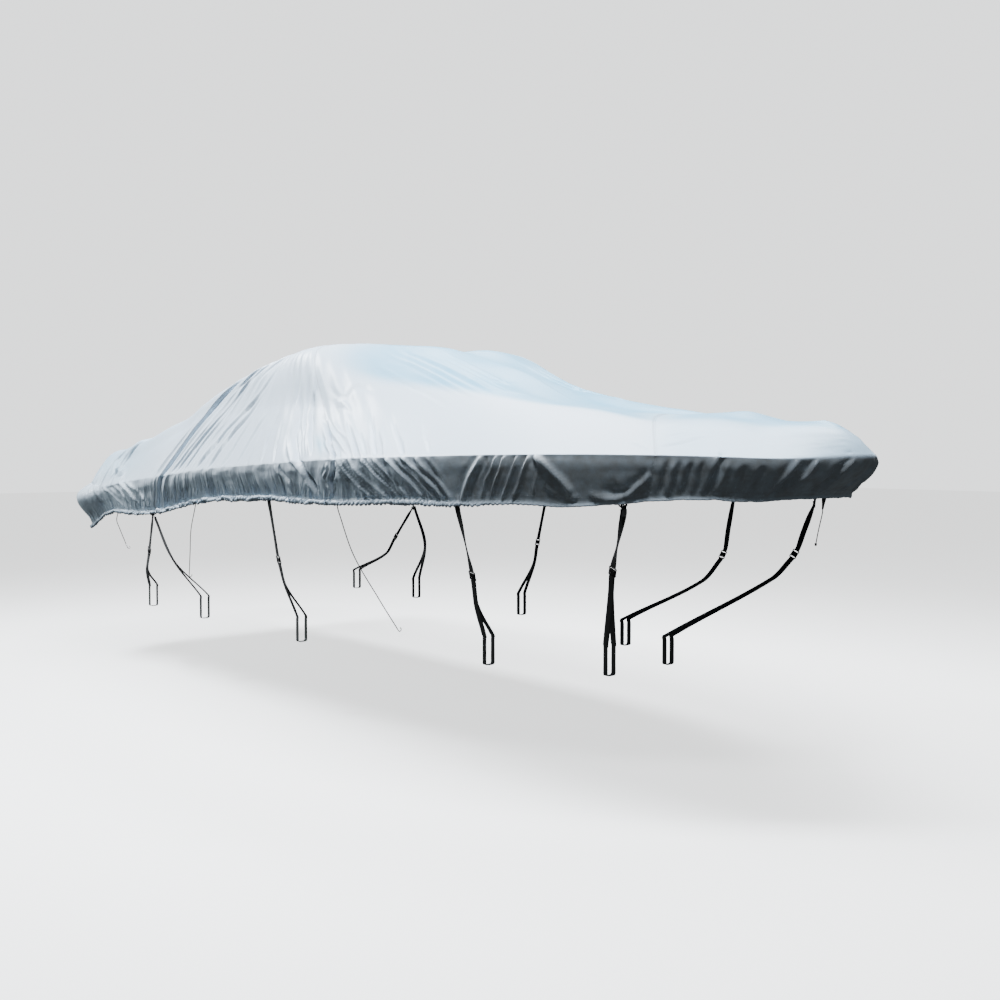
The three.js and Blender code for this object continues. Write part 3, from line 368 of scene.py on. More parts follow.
def rib_knots():
    """How far round the hem each rib stands, in millimetres."""
    hem, gun = RIBS[:, columns_of("hem")], RIBS[:, columns_of("gun")]
    steps = (np.linalg.norm(np.diff(gun, axis=0), axis=1) + np.linalg.norm(np.diff(hem, axis=0), axis=1)) / 2
    return np.concatenate([[0], np.cumsum(steps)])


KNOTS = rib_knots()
RIBS[:, column("bulge")] = np.where(SKIRT_BULGE == 0, RIBS[:, column("bulge")], SKIRT_BULGE)
MIRROR = np.array([-1 if name.endswith("_y") else 1 for name in RIB_COLUMNS])
RING_KNOTS = np.concatenate([[-KNOTS[1]], KNOTS, [2 * KNOTS[-1] - KNOTS[-2]]])
RING_RIBS = np.vstack([RIBS[1] * MIRROR, RIBS, RIBS[-2] * MIRROR])


def along_of(rib):
    """The distance round the hem (mm) at which a rib stands, and rib_of gives back the rib."""
    return np.interp(rib, np.arange(LAST_RIB + 1), KNOTS)


def rib_of(along):
    return np.interp(along, KNOTS, np.arange(LAST_RIB + 1))


def surface(alongs, heights):
    """The plain starboard surface, in millimetres: a row of points up each rib."""
    alongs, heights = np.asarray(alongs, float), np.asarray(heights, float)
    ribs, ahead = hermite(RING_KNOTS, RING_RIBS, alongs), hermite(RING_KNOTS, RING_RIBS, alongs + 1)
    gun_x, gun_y = column("gun_x"), column("gun_y")
    out = np.stack([ribs[:, gun_y] - ahead[:, gun_y], ribs[:, gun_x] - ahead[:, gun_x], 0 * alongs], 1)
    out /= np.linalg.norm(out, axis=1, keepdims=True)
    starboard = np.array([1, -1, 1])
    hem, gun = ribs[:, columns_of("hem")] * starboard, ribs[:, columns_of("gun")] * starboard
    points = np.empty((len(alongs), len(heights), 3))
    skirt = heights <= 1
    h = heights[skirt][None, :, None]
    bulge = ribs[:, column("bulge")][:, None, None]
    points[:, skirt] = hem[:, None] * (1 - h) + gun[:, None] * h + out[:, None] * bulge * np.sin(np.pi * h**2)
    for k, rib in enumerate(ribs):
        side, top = rib[columns_of("side")] * starboard, rib[columns_of("top")] * starboard
        middle = np.array([rib[column("mid_x")], 0, rib[column("mid_z")]])
        corners = np.array([gun[k], side, top, middle, top * starboard])
        knots = distances(corners)
        points[k, ~skirt] = hermite(knots, corners, (heights[~skirt] - 1) * knots[3])
    return points


def outward(points):
    """The outward direction at each point of a starboard grid."""
    normal = np.cross(np.gradient(points, axis=0), np.gradient(points, axis=1))
    return normal / np.maximum(np.linalg.norm(normal, axis=2, keepdims=True), 1e-9)


def broad_folds(alongs, heights, side):
    """The folds of the solids as smooth waves, less high than there."""
    wave = np.zeros((len(alongs), len(heights)))
    below = np.where(heights <= 1, 0.35 + 0.65 * np.sin(np.pi * np.clip(0.25 + 0.65 * heights, 0, 1)), 0)
    above = np.where(heights > 1, np.sin(np.pi * np.clip((heights - 0.98) / 0.62, 0, 1)), 0)
    skirt_folds = [fold for panel in PANELS for fold in panel["skirt"]]
    side_folds = [fold for panel in PANELS for fold in panel["side"]]
    shift = 0 if side == STARBOARD else PORT_SHIFT
    columns, first = np.zeros(len(alongs)), 0
    for panel in PANELS:
        start, end = (along_of(rib) for rib in panel["ribs"])
        inside = (alongs >= start) & (alongs <= end)
        columns[inside] = first + (alongs[inside] - start) / (end - start) * 2 * len(panel["skirt"])
        first += 2 * len(panel["skirt"])
    crests = np.arange(len(skirt_folds)) * 2 + 1
    at_ends = ease(columns / 3) * ease((first - columns) / 3)
    for folds, reach in ((skirt_folds, below), (side_folds, above)):
        high = np.interp(columns, crests, np.roll(folds, -shift))
        wave += (-np.cos(np.pi * columns) * at_ends * 0.5 * high)[:, None] * reach
    return FOLD_SHARE * wave


def crease_height(points, course, depth, wide, fade_in, fade_out):
    """A crease along a course of points: which points of a grid it reaches, and its height there."""
    low, high = course.min(0) - 4 * wide, course.max(0) + 4 * wide
    near = ((points > low) & (points < high)).all(axis=2)
    if not near.any():
        return near, 0
    p = points[near]
    before = distances(course)
    steps = np.linalg.norm(np.diff(course, axis=0), axis=1)
    best, place = np.full(len(p), np.inf), np.zeros(len(p))
    aft = np.ones(len(p))
    for k, step in enumerate(steps):
        along = (course[k + 1] - course[k]) / step
        t = np.clip((p - course[k]) @ along, 0, step)
        apart = p - course[k] - t[:, None] * along
        away = np.linalg.norm(apart, axis=1)
        closer = away < best
        best[closer], place[closer] = away[closer], before[k] + t[closer]
        aft[closer] = np.where(apart[closer, 0] < 0, 1, -1)
    share = place / before[-1]
    fade = ease(share / max(fade_in, 1e-3)) * ease((1 - share) / max(fade_out, 1e-3))
    crest = np.exp(-(best / wide) ** 1.7)
    beside = np.exp(-((best * aft - 1.8 * wide) / (1.2 * wide)) ** 2)
    return near, depth * fade * (crest - 0.42 * beside)


def placed_creases(points, side):
    """The creases of the table, at their places on one side. The port side's are a little elsewhere."""
    total = np.zeros(points.shape[:2])
    rng, noise_row = np.random.default_rng(7), 0.5
    for row in CREASES:
        crease = dict(zip(CREASE_COLUMNS, row))
        shift, share = rng.uniform(-PORT_WANDER, PORT_WANDER), rng.uniform(*PORT_DEPTHS)
        seam = len({rib for rib, _ in crease["course"]}) == 1
        if side == STARBOARD or seam:
            shift, share = 0, 1
        count = len(crease["course"])
        fine = 5 * count
        course = hermite(np.arange(count, dtype=float), np.array(crease["course"], float),
                         np.linspace(0, count - 1, fine))
        if not seam:
            astray = value_noise(np.arange(fine) * 0.45, np.full(fine, noise_row), 31)
            course[:, 0] += CREASE_WANDER * astray
            noise_row += 3.7
        line = np.array([surface([along_of(np.clip(rib + shift, 0, LAST_RIB))], [height])[0, 0]
                         for rib, height in course])
        near, height = crease_height(points, line, crease["depth"] * share, crease["wide"],
                                     crease["fade_in"], crease["fade_out"])
        total[near] += height
    return total


def hem_pleats(alongs, heights, side):
    """Small pleats above the hem, in no even rhythm."""
    rng = np.random.default_rng(11 if side == STARBOARD else 12)
    total = np.zeros((len(alongs), len(heights)))
    place = 20.0
    while place < KNOTS[-1]:
        apart, high, wide, long, lean = (
            np.interp(rib_of(place), PLEATS[:, 0], PLEATS[:, k]) for k in range(1, len(PLEAT_COLUMNS)))
        place += apart * rng.uniform(0.55, 1.5)
        high *= rng.uniform(0.4, 1.3)
        wide *= rng.uniform(0.7, 1.35)
        long *= rng.uniform(0.4, 1.5)
        lean += rng.normal(0, 9)
        near = np.abs(alongs - place) < 4 * wide + abs(lean)
        up = np.clip(heights, 0, 1)[None, :]
        away = (alongs[near][:, None] - place + lean * (up - 0.3)) / wide
        fade = ease(1.15 - up * SKIRT_DEEP / long) * (heights <= 1)[None, :]
        total[near] += high * fade * (np.exp(-away**2) - 0.45 * np.exp(-(away / 2) ** 2))
    return total


def value_noise(x, y, seed):
    """Smooth noise from -1 to 1 over two coordinates. Each seed gives its own, the same each time."""
    table = np.random.default_rng(seed).uniform(-1, 1, (256, 256))
    i, j = np.floor(x).astype(int), np.floor(y).astype(int)
    s, t = ease(x - i), ease(y - j)
    a, b = table[i % 256, j % 256], table[(i + 1) % 256, j % 256]
    c, d = table[i % 256, (j + 1) % 256], table[(i + 1) % 256, (j + 1) % 256]
    return (a * (1 - s) + b * s) * (1 - t) + (c * (1 - s) + d * s) * t


def crumple(alongs, heights, side):
    """The unevenness of slack cloth: more of it at the stern and in the skirt."""
    rib = rib_of(alongs)[:, None]
    shift = 0 if side == STARBOARD else 53.0
    u, v = alongs[:, None] / 1000 + shift, heights[None, :] * np.ones_like(rib)
    slack = np.interp(rib, (0, 4, 9, 10.5, 12, 14, 18), (1.0, 1.0, 1.0, 0.7, 0.3, 0.4, 0.4))
    skirt = ease((1.02 - v) / 0.04)
    fine = 1.6 * value_noise(u * 22, v * 3 + u * 3, 3) + 0.9 * value_noise(u * 47, v * 6, 4)
    broad = 4.0 * value_noise(u * 2.6, v * 5, 5) + 2.0 * value_noise(u * 6, v * 9, 6)
    top = 0.8 * value_noise(u * 14, v * 16, 8) + 0.5 * value_noise(u * 30 + v * 9, v * 30, 9)
    return slack * (skirt * fine + (1 - skirt) * top) + broad * ease(v * 1.5) * (0.4 + 0.6 * slack)


def one_side(alongs, heights, side):
    """One side's cloth, folds and all: points and outward directions in millimetres, starboard way round."""
    alongs, heights = np.asarray(alongs, float), np.asarray(heights, float)
    points = surface(alongs, heights)
    if side == PORT:
        near = ease(1 - np.abs(alongs - along_of(PORT_CORNER["rib"])) / PORT_CORNER["reach"])
        points[:, :, 2] += PORT_CORNER["lift"] * near[:, None] * np.maximum(1 - heights, 0)
    out = outward(points)
    moved = broad_folds(alongs, heights, side) + placed_creases(points, side)
    moved += hem_pleats(alongs, heights, side) + crumple(alongs, heights, side)
    stern_end, bow_end = PLAIN_ENDS
    ends = ease(alongs / stern_end)[:, None] * ease((KNOTS[-1] - alongs) / bow_end)[:, None]
    held = 0.85 * np.interp(rib_of(alongs), HELD_RIBS, HELD_SHARES)
    moved *= 1 - held[:, None] * np.exp(-((heights - 1) / 0.035) ** 2)
    moved *= ease((2 - heights) / 0.1)[None, :] * ends
    for rib, height, high, reach, on in BUMPS:
        if on in (side, BOTH_SIDES):
            centre = surface([along_of(rib)], [height])[0, 0]
            moved += high * np.exp(-(np.linalg.norm(points - centre, axis=2) / reach) ** 2)
    return points + out * moved[:, :, None], out


def hem_roll(edge, below, out, alongs, side):
    """The turned hem: from the skirt's foot, round the roll and back up inside."""
    rib = rib_of(alongs)
    roll, gather, wander = (np.interp(rib, HEM[:, 0], HEM[:, k]) for k in range(1, len(HEM_COLUMNS)))
    shift = 0 if side == STARBOARD else 31.0
    drop = wander * value_noise(alongs / 90 + shift, alongs * 0, 21) * ease(alongs / 200)
    drop += 0.5 * wander * value_noise(alongs / 34 + shift, alongs * 0, 22)
    sway = 0.6 * wander * value_noise(alongs / 60 + shift, alongs * 0, 23)
    down = edge - below
    down /= np.linalg.norm(down, axis=1, keepdims=True)
    centre = edge + down * drop[:, None] + out * (sway + 0.6 * roll)[:, None]
    pace = alongs / GATHER_PITCH + 0.35 * value_noise(alongs / 130 + shift, alongs * 0, 24)
    rows = []
    for turn in ROLL_TURNS:
        crest = (0.5 + 0.5 * np.cos(2 * np.pi * pace + 1.3 * turn)) ** 1.6 * 2 - 0.9
        size = roll * (1 + gather * crest)
        rows.append(centre + out * (size * np.cos(turn))[:, None] + down * (size * np.sin(turn))[:, None])
    rows.append(rows[-1] - down * TUCK)
    return np.stack(rows[::-1], axis=1)


# ---------------------------------------------------------------- meshes
def mesh_object(name, shape, smooth=True):
    """An object from a shape, which is a list of points in metres and a list of faces."""
    points, faces = shape
    mesh = bpy.data.meshes.new(name)
    mesh.from_pydata([tuple(map(float, p)) for p in points], [], faces)
    mesh.update()
    mesh.polygons.foreach_set("use_smooth", [smooth] * len(mesh.polygons))
    obj = bpy.data.objects.new(name, mesh)
    bpy.context.scene.collection.objects.link(obj)
    return obj


def node_points(node):
    """The points of one of the solids, in metres."""
    return np.array([tuple(v.co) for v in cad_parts[node].data.vertices])


def joined(*shapes):
    """Several shapes as one."""
    points, faces = [], []
    for more_points, more_faces in shapes:
        first = len(points)
        points.extend(more_points)
        faces.extend(tuple(first + k for k in face) for face in more_faces)
    return points, faces


def placed(shape, centre, x_axis, y_axis, z_axis, scale=MM):
    """A shape drawn in its own axes, in millimetres, put in its place in metres."""
    points, faces = shape
    axes = np.array([x_axis, y_axis, z_axis])
    return [centre + scale * np.asarray(p) @ axes for p in points], faces


def grid_faces(index, fine_rows, flip):
    """Faces over a grid of point numbers. Above fine_rows they take every second column."""
    fine, upper = index[:, :fine_rows + 1], index[::2, fine_rows + 1:]
    faces = []
    for part in (fine, upper):
        quads = np.stack([part[:-1, :-1], part[1:, :-1], part[1:, 1:], part[:-1, 1:]], -1)
        faces += quads.reshape(-1, 4).tolist()
    last, first = index[:, fine_rows], index[::2, fine_rows + 1]
    faces += np.stack([last[:-2:2], last[1:-1:2], last[2::2], first[1:], first[:-1]], -1).tolist()
    return [face[::-1] for face in faces] if flip else faces


def side_grid(panel_alongs, side):
    """One side of a panel in millimetres, from the hem's inner edge to the middle.

    Its heights come with it, and the number of rows that the rolled hem takes."""
    heights = np.concatenate([[0.0], SKIRT_HEIGHTS, NEAR_HEIGHTS, UPPER_HEIGHTS])
    step = panel_alongs[1] - panel_alongs[0]
    wider = np.concatenate([[panel_alongs[0] - step], panel_alongs, [panel_alongs[-1] + step]])
    points, _ = one_side(wider, heights, side)
    out, points = outward(points)[1:-1, 0], points[1:-1]
    roll = hem_roll(points[:, 0], points[:, 2], out, panel_alongs, side)
    rolled = roll.shape[1]
    grid = np.concatenate([roll, points[:, 2:]], axis=1)
    return grid, np.concatenate([np.zeros(rolled), heights[2:]]), rolled


def panel_object(panel, mesh_pitch):
    """One panel of cloth, both sides, with its share of the hem."""
    start, end = (along_of(rib) for rib in panel["ribs"])
    count = 2 * round((end - start) / (mesh_pitch * panel["pitch"]) / 2)
    alongs = np.linspace(start, end, count + 1)
    sides = {side: side_grid(alongs, side) for side in (STARBOARD, PORT)}
    closed_start, closed_end = panel["ribs"][0] == 0, panel["ribs"][1] == LAST_RIB
    _, heights, rolled = sides[STARBOARD]
    grids = {side: sides[side][0] * np.array([1, -side, 1]) for side in sides}
    # Both sides share their points on the centreline: the middle row, and the ends at the stern and bow.
    mean = (grids[STARBOARD] + grids[PORT] * np.array([1, -1, 1])) / 2
    mean[..., 1] = 0
    shared = np.zeros(mean.shape[:2], bool)
    shared[:, -1] = True
    shared[0] |= closed_start
    shared[-1] |= closed_end
    grids[STARBOARD][shared] = mean[shared]
    index = np.arange(shared.size).reshape(shared.shape)
    port_index = np.where(shared, index, index + shared.size)
    fine_rows = rolled + len(SKIRT_HEIGHTS) - 2 + len(NEAR_HEIGHTS)
    faces = grid_faces(index, fine_rows, False) + grid_faces(port_index, fine_rows, True)
    # The upper rows take every second column, so some points belong to no face and are left out.
    used = np.unique(np.concatenate([np.asarray(face) for face in faces]))
    renumber = np.zeros(2 * shared.size, int)
    renumber[used] = np.arange(len(used))
    points = np.concatenate([grids[STARBOARD].reshape(-1, 3), grids[PORT].reshape(-1, 3)])[used] * MM
    obj = mesh_object(panel["name"].replace("cover_", "cloth_"),
                      (points, [[int(renumber[k]) for k in face] for face in faces]))
    ribs = np.repeat(rib_of(alongs), len(heights))
    shades = cloth_shades(np.concatenate([ribs, ribs])[used], np.tile(heights, 2 * len(alongs))[used])
    for name, values in shades.items():
        attribute = obj.data.attributes.new(name, "FLOAT", "POINT")
        attribute.data.foreach_set("value", values.astype(np.float32))
    return obj


def cloth_shades(rib, height):
    """Where the cloth gets its painted sky reflection (bluer), its painted shade (a darker skirt) and its
    slack, each from 0 to 1, by rib and height.
    """
    # Painted sky reflection: a blue tint on the windscreen's slope, the foredeck, round the post and over the
    # stern's top.
    windscreen = ease((rib - 9.2) / 1.1) * ease((14.4 - rib) / 0.8) * ease((height - 1.44) / 0.09)
    foredeck = ease((rib - 13.6) / 0.9) * (0.4 + 0.5 * ease((height - 1.5) / 0.2))
    foredeck *= ease((height - 0.99) / 0.02)
    post = 0.8 * ease(1 - np.abs(rib - 8.85) / 0.13) * ease(1 - np.abs(height - 1.09) / 0.09)
    stern = 0.3 * ease((5.8 - rib) / 1.5) * ease((height - 1) / 0.1)
    skirt = ease((1.0 - height) / 0.03)
    slack = np.interp(rib, (0, 5, 9, 10.5, 12, 18), (1, 1, 0.9, 0.6, 0.3, 0.3)) * (0.35 + 0.65 * skirt)
    sky_tint = np.clip(np.maximum(windscreen, foredeck) + post + stern, 0, 1)
    # Painted shade: the skirt below the gunwale is darkened, more towards the bow, and the hem's roll is left
    # pale.
    skirt_shade = skirt * ease(height / 0.05) * (0.35 + 0.65 * ease((rib - 9.5) / 2.5))
    return {"sky_tint": sky_tint, "skirt_shade": skirt_shade, "slack": slack}


def tube(centres, radii, turns=10, squash=1.0):
    """A round tube along points in metres, closed at both ends. radii is one radius for each point."""
    centres = np.asarray(centres, float)
    tangents = np.gradient(centres, axis=0)
    tangents /= np.linalg.norm(tangents, axis=1, keepdims=True)
    up = np.array([0.0, 0.0, 1.0]) if abs(tangents[0][2]) < 0.9 else np.array([1.0, 0.0, 0.0])
    points, faces = [], []
    for k, (centre, tangent, radius) in enumerate(zip(centres, tangents, radii)):
        across = up - tangent * (up @ tangent)
        across /= np.linalg.norm(across)
        other = np.cross(tangent, across)
        up = across
        for turn in range(turns):
            angle = 2 * math.pi * turn / turns
            points.append(centre + radius * (math.cos(angle) * across + squash * math.sin(angle) * other))
        if k:
            for turn in range(turns):
                a, b = (k - 1) * turns + turn, (k - 1) * turns + (turn + 1) % turns
                faces.append((a, b, b + turns, a + turns))
    faces.append(tuple(range(turns))[::-1])
    faces.append(tuple(range((len(centres) - 1) * turns, len(centres) * turns)))
    return points, faces


def curve_through(points, step):
    """A smooth line through points in metres, with a point every step."""
    points = np.asarray(points, float)
    knots = distances(points)
    fine = hermite(knots, points, np.linspace(0, knots[-1], 400))
    run = distances(fine)
    at = np.linspace(0, run[-1], max(int(run[-1] / step), 4) + 1)
    return np.stack([np.interp(at, run, fine[:, k]) for k in range(3)], 1)


# Section of woven webbing: flat faces with a low crown and round selvedges, as shares of its half sizes.
WEBBING_FACE = ((-0.94, 0.9), (-0.5, 1.0), (0.0, 1.0), (0.5, 1.0), (0.94, 0.9))
WEBBING_SECTION = ((-1.0, 0.0), (-0.985, 0.55), *WEBBING_FACE, (0.985, 0.55), (1.0, 0.0), (0.985, -0.55),
                   *((-across, -through) for across, through in WEBBING_FACE), (-0.985, -0.55))


def band(stations, thick, step=0.008):
    """Webbing through stations, each (centre, direction of its width, width), in metres."""
    centres = np.array([station[0] for station in stations], float)
    acrosses = np.array([unit(np.asarray(station[1], float)) for station in stations])
    widths = np.array([station[2] for station in stations], float)[:, None]
    knots = distances(centres)
    at = np.linspace(0, knots[-1], max(int(knots[-1] / step), 6) + 1)
    both = hermite(knots, np.hstack([centres, acrosses, widths]), at)
    centres, acrosses, widths = both[:, :3], both[:, 3:6], both[:, 6]
    tangents = np.gradient(centres, axis=0)
    tangents /= np.linalg.norm(tangents, axis=1, keepdims=True)
    acrosses -= tangents * (acrosses * tangents).sum(1, keepdims=True)
    acrosses /= np.linalg.norm(acrosses, axis=1, keepdims=True)
    through = np.cross(tangents, acrosses)
    points, faces, turns = [], [], len(WEBBING_SECTION)
    for k in range(len(at)):
        for a, t in WEBBING_SECTION:
            points.append(centres[k] + acrosses[k] * a * widths[k] / 2 + through[k] * t * thick / 2)
        if k:
            for turn in range(turns):
                a, b = (k - 1) * turns + turn, (k - 1) * turns + (turn + 1) % turns
                faces.append((b, a, a + turns, b + turns))
    faces.append(tuple(range(turns)))
    faces.append(tuple(range((len(at) - 1) * turns, len(at) * turns))[::-1])
    return points, faces


def rounded(wide, high, corner, steps=5):
    """A rectangle with round corners, as points round it."""
    outline = []
    for quarter, (x, y) in enumerate(((1, 1), (-1, 1), (-1, -1), (1, -1))):
        for k in range(steps + 1):
            angle = math.pi / 2 * (quarter + k / steps)
            outline.append((x * (wide / 2 - corner) + corner * math.cos(angle),
                            y * (high / 2 - corner) + corner * math.sin(angle)))
    return np.array(outline)


def rings_shape(rings, closed):
    """Faces between rings of points, joined end to end where closed and capped where not."""
    turns, faces = len(rings[0]), []
    for k in range(len(rings) if closed else len(rings) - 1):
        for turn in range(turns):
            a, b = k * turns + turn, k * turns + (turn + 1) % turns
            ahead = ((k + 1) % len(rings) - k) * turns
            faces.append((a, b, b + ahead, a + ahead))
    if not closed:
        faces.append(tuple(range(turns))[::-1])
        faces.append(tuple(range((len(rings) - 1) * turns, len(rings) * turns)))
    return [p for ring in rings for p in ring], faces


def slab(outline, thick, bevel, middle=(0, 0)):
    """A moulded slab with an outline and softened edges, in millimetres."""
    rings, half, small = [], thick / 2, bevel * 0.3
    for inset, z in ((bevel, -half), (small, small - half), (0, bevel - half), (0, half - bevel),
                     (small, half - small), (bevel, half)):
        share = 1 - inset / (np.abs(outline).max(0))
        rings.append([(x + middle[0], y + middle[1], z) for x, y in outline * share])
    return rings_shape(rings, False)


def moulded_loop(outer, inner, thick, bevel, middle):
    """A flat loop that webbing passes through, with softened edges, in millimetres."""
    rings, half = [], thick / 2
    for share, z in ((0, -half + bevel), (0, half - bevel), (0.25, half), (0.75, half), (1, half - bevel),
                     (1, -half + bevel), (0.75, -half), (0.25, -half)):
        rings.append([(x + middle[0], y + middle[1], z) for x, y in outer * (1 - share) + inner * share])
    return rings_shape(rings, True)


def trefoil(count):
    """The closed line of a trefoil knot, which reaches 2.7 sideways, 2.8 up and down, and 1 in depth."""
    turns = np.linspace(0, 2 * math.pi, count + 1)[:-1]
    return np.stack([np.sin(turns) + 2 * np.sin(2 * turns), np.cos(turns) - 2 * np.cos(2 * turns),
                     -np.sin(3 * turns)], 1)


def stitch_row(line, lifts):
    """A row of stitches along a line of points in metres, lifted along the surface."""
    pitch, length, radius = (STITCH[name] * MM for name in ("pitch", "length", "radius"))
    run = distances(line)
    faces = [(0, 2 + k, 2 + (k + 1) % 4) for k in range(4)]
    faces += [(1, 2 + (k + 1) % 4, 2 + k) for k in range(4)]
    shapes = []
    for start in np.arange(pitch / 2, run[-1] - length, pitch):
        at = [np.array([np.interp(d, run, line[:, k]) for k in range(3)]) for d in (start, start + length)]
        lift = np.array([np.interp(start, run, lifts[:, k]) for k in range(3)])
        along = unit(at[1] - at[0])
        aside = np.cross(along, lift)
        middle = (at[0] + at[1]) / 2 + lift * radius
        ring = [middle + radius * part for part in (aside, lift, -aside, -lift)]
        shapes.append(([at[0], at[1], *ring], faces))
    return joined(*shapes)


# ---------------------------------------------------------------- materials
WEBBING = "polypropylene_webbing_woven"
BLACK_CORD = "polyester_cord_braided_black"
FLOOR_GLOW = 1.9         # how bright the floor is in itself
ROOM_SEEN = 2.1          # how bright the room looks behind the cover
ROOM_GLOW = 0.09         # how much light it sheds on it


def linear(hex_colour):
    """An sRGB hex colour as a linear colour with alpha."""
    parts = [int(hex_colour[k:k + 2], 16) / 255 for k in (1, 3, 5)]
    return tuple(p / 12.92 if p <= 0.04045 else ((p + 0.055) / 1.055) ** 2.4 for p in parts) + (1.0,)


def add_node(tree, kind, inputs=None, **settings):
    """Adds a node, with its settings, and its inputs as values or as links from other sockets."""
    node = tree.nodes.new(kind)
    for name, value in settings.items():
        setattr(node, name, value)
    for name, value in (inputs or {}).items():
        if isinstance(value, bpy.types.NodeSocket):
            tree.links.new(value, node.inputs[name])
        else:
            node.inputs[name].default_value = value
    return node


def mix_colours(tree, factor, first, second):
    """The colour socket of a mix of two colours, each an sRGB hex, a linear colour or a socket."""
    colours = [linear(colour) if isinstance(colour, str) else colour for colour in (first, second)]
    return add_node(tree, "ShaderNodeMix", {"Factor": factor, 6: colours[0], 7: colours[1]},
                    data_type="RGBA").outputs[2]


def scaled_colour(colour, share, lift=0.0):
    """A linear colour with each part scaled by share and lifted."""
    return tuple(min(part * share + lift, 1) for part in colour[:3]) + (1.0,)


def new_material(name):
    """An empty material: its tree, its surface shader and its object coordinates."""
    material = bpy.data.materials.new(name)
    material.use_nodes = True
    tree = material.node_tree
    tree.nodes.clear()
    shader = add_node(tree, "ShaderNodeBsdfPrincipled")
    add_node(tree, "ShaderNodeOutputMaterial", {"Surface": shader.outputs["BSDF"]})
    coordinates = add_node(tree, "ShaderNodeTexCoord").outputs["Object"]
    return material, tree, shader, coordinates


def coated_woven_polyester(settings):
    """Woven polyester with a coating: a pale, slightly shiny skin with a fine crumple, a painted sky
    reflection and painted shade on the skirt.
    """
    material, tree, shader, place = new_material("polyester_coated_woven")
    marks = {name: add_node(tree, "ShaderNodeAttribute", attribute_name=name).outputs["Fac"]
             for name in ("sky_tint", "skirt_shade", "slack")}
    # The sky's tint on the shaded planes, uneven over about half a metre.
    clouds = add_node(tree, "ShaderNodeTexNoise", {"Vector": place, "Scale": 1 / 0.4, "Detail": 3.0})
    uneven = add_node(tree, "ShaderNodeMapRange", {"Value": clouds.outputs["Fac"], "From Min": 0.3,
                                                   "From Max": 0.7, "To Min": 0.7, "To Max": 1.0})
    share = add_node(tree, "ShaderNodeMath", {0: marks["sky_tint"], 1: uneven.outputs[0]}, operation="MULTIPLY")
    colour = mix_colours(tree, share.outputs[0], settings.cloth_colour, settings.sky_tint_colour)
    # Painted shade on the skirt: mixed towards a grey, mottled over about 50 mm.
    shade_mottle = add_node(tree, "ShaderNodeTexNoise", {"Vector": place, "Scale": 1 / 0.05, "Detail": 5.0})
    shade_share = add_node(tree, "ShaderNodeMath", {0: marks["skirt_shade"], 1: shade_mottle.outputs["Fac"]},
                     operation="MULTIPLY")
    shaded_colour = mix_colours(tree, shade_share.outputs[0], colour, settings.skirt_shade_colour)
    tree.links.new(shaded_colour, shader.inputs["Base Color"])
    # Small crumples, 50 and 12 mm apart, where the cloth hangs slack. The weave, 0.4 mm, is far too fine
    # to show and is drawn at 3 mm.
    drawn = add_node(tree, "ShaderNodeMapping", {"Vector": place, "Scale": (1.0, 1.0, 0.5)})
    broad = add_node(tree, "ShaderNodeTexNoise", {"Vector": drawn.outputs[0], "Scale": 1 / 0.05,
                                                  "Detail": 3.0, "Distortion": 0.8})
    fine = add_node(tree, "ShaderNodeTexNoise", {"Vector": place, "Scale": 1 / 0.012, "Detail": 2.0})
    weave = add_node(tree, "ShaderNodeTexVoronoi", {"Vector": place, "Scale": 1 / 0.003})
    first = add_node(tree, "ShaderNodeBump", {"Height": broad.outputs["Fac"], "Distance": 0.005,
                                              "Strength": marks["slack"]})
    second = add_node(tree, "ShaderNodeBump", {"Height": fine.outputs["Fac"], "Distance": 0.0008,
                                               "Strength": 0.25, "Normal": first.outputs[0]})
    third = add_node(tree, "ShaderNodeBump", {"Height": weave.outputs["Distance"], "Distance": 0.0003,
                                              "Strength": 0.15, "Normal": second.outputs[0]})
    tree.links.new(third.outputs[0], shader.inputs["Normal"])
    shader.inputs["Roughness"].default_value = 0.42
    shader.inputs["Specular IOR Level"].default_value = 0.5
    shader.inputs["Sheen Weight"].default_value = 0.1
    return material


def woven_webbing(settings):
    """Polypropylene webbing: matt black with a ribbed weave that catches a little light."""
    material, tree, shader, place = new_material(WEBBING)
    worn = add_node(tree, "ShaderNodeTexNoise", {"Vector": place, "Scale": 1 / 0.04, "Detail": 4.0})
    colour = mix_colours(tree, worn.outputs["Fac"], settings.webbing_colour, settings.webbing_worn)
    tree.links.new(colour, shader.inputs["Base Color"])
    ribs = add_node(tree, "ShaderNodeTexWave", {"Vector": place, "Scale": 2 / 0.02, "Distortion": 1.0},
                    bands_direction="Z")
    bump = add_node(tree, "ShaderNodeBump", {"Height": ribs.outputs["Fac"], "Distance": 0.0006,
                                             "Strength": 0.6})
    tree.links.new(bump.outputs[0], shader.inputs["Normal"])
    shader.inputs["Roughness"].default_value = 0.78
    shader.inputs["Sheen Weight"].default_value = 0.15
    return material


def moulded_plastic(name, hex_colour, roughness):
    """Moulded plastic: a soft gloss over a faint grain from the tool."""
    material, tree, shader, place = new_material(name)
    grain = add_node(tree, "ShaderNodeTexNoise", {"Vector": place, "Scale": 1 / 0.0015, "Detail": 2.0})
    base = linear(hex_colour)
    colour = mix_colours(tree, grain.outputs["Fac"], base, scaled_colour(base, 1.25, 0.004))
    tree.links.new(colour, shader.inputs["Base Color"])
    bump = add_node(tree, "ShaderNodeBump", {"Height": grain.outputs["Fac"], "Distance": 0.0002,
                                             "Strength": 0.4})
    tree.links.new(bump.outputs[0], shader.inputs["Normal"])
    shader.inputs["Roughness"].default_value = roughness
    return material


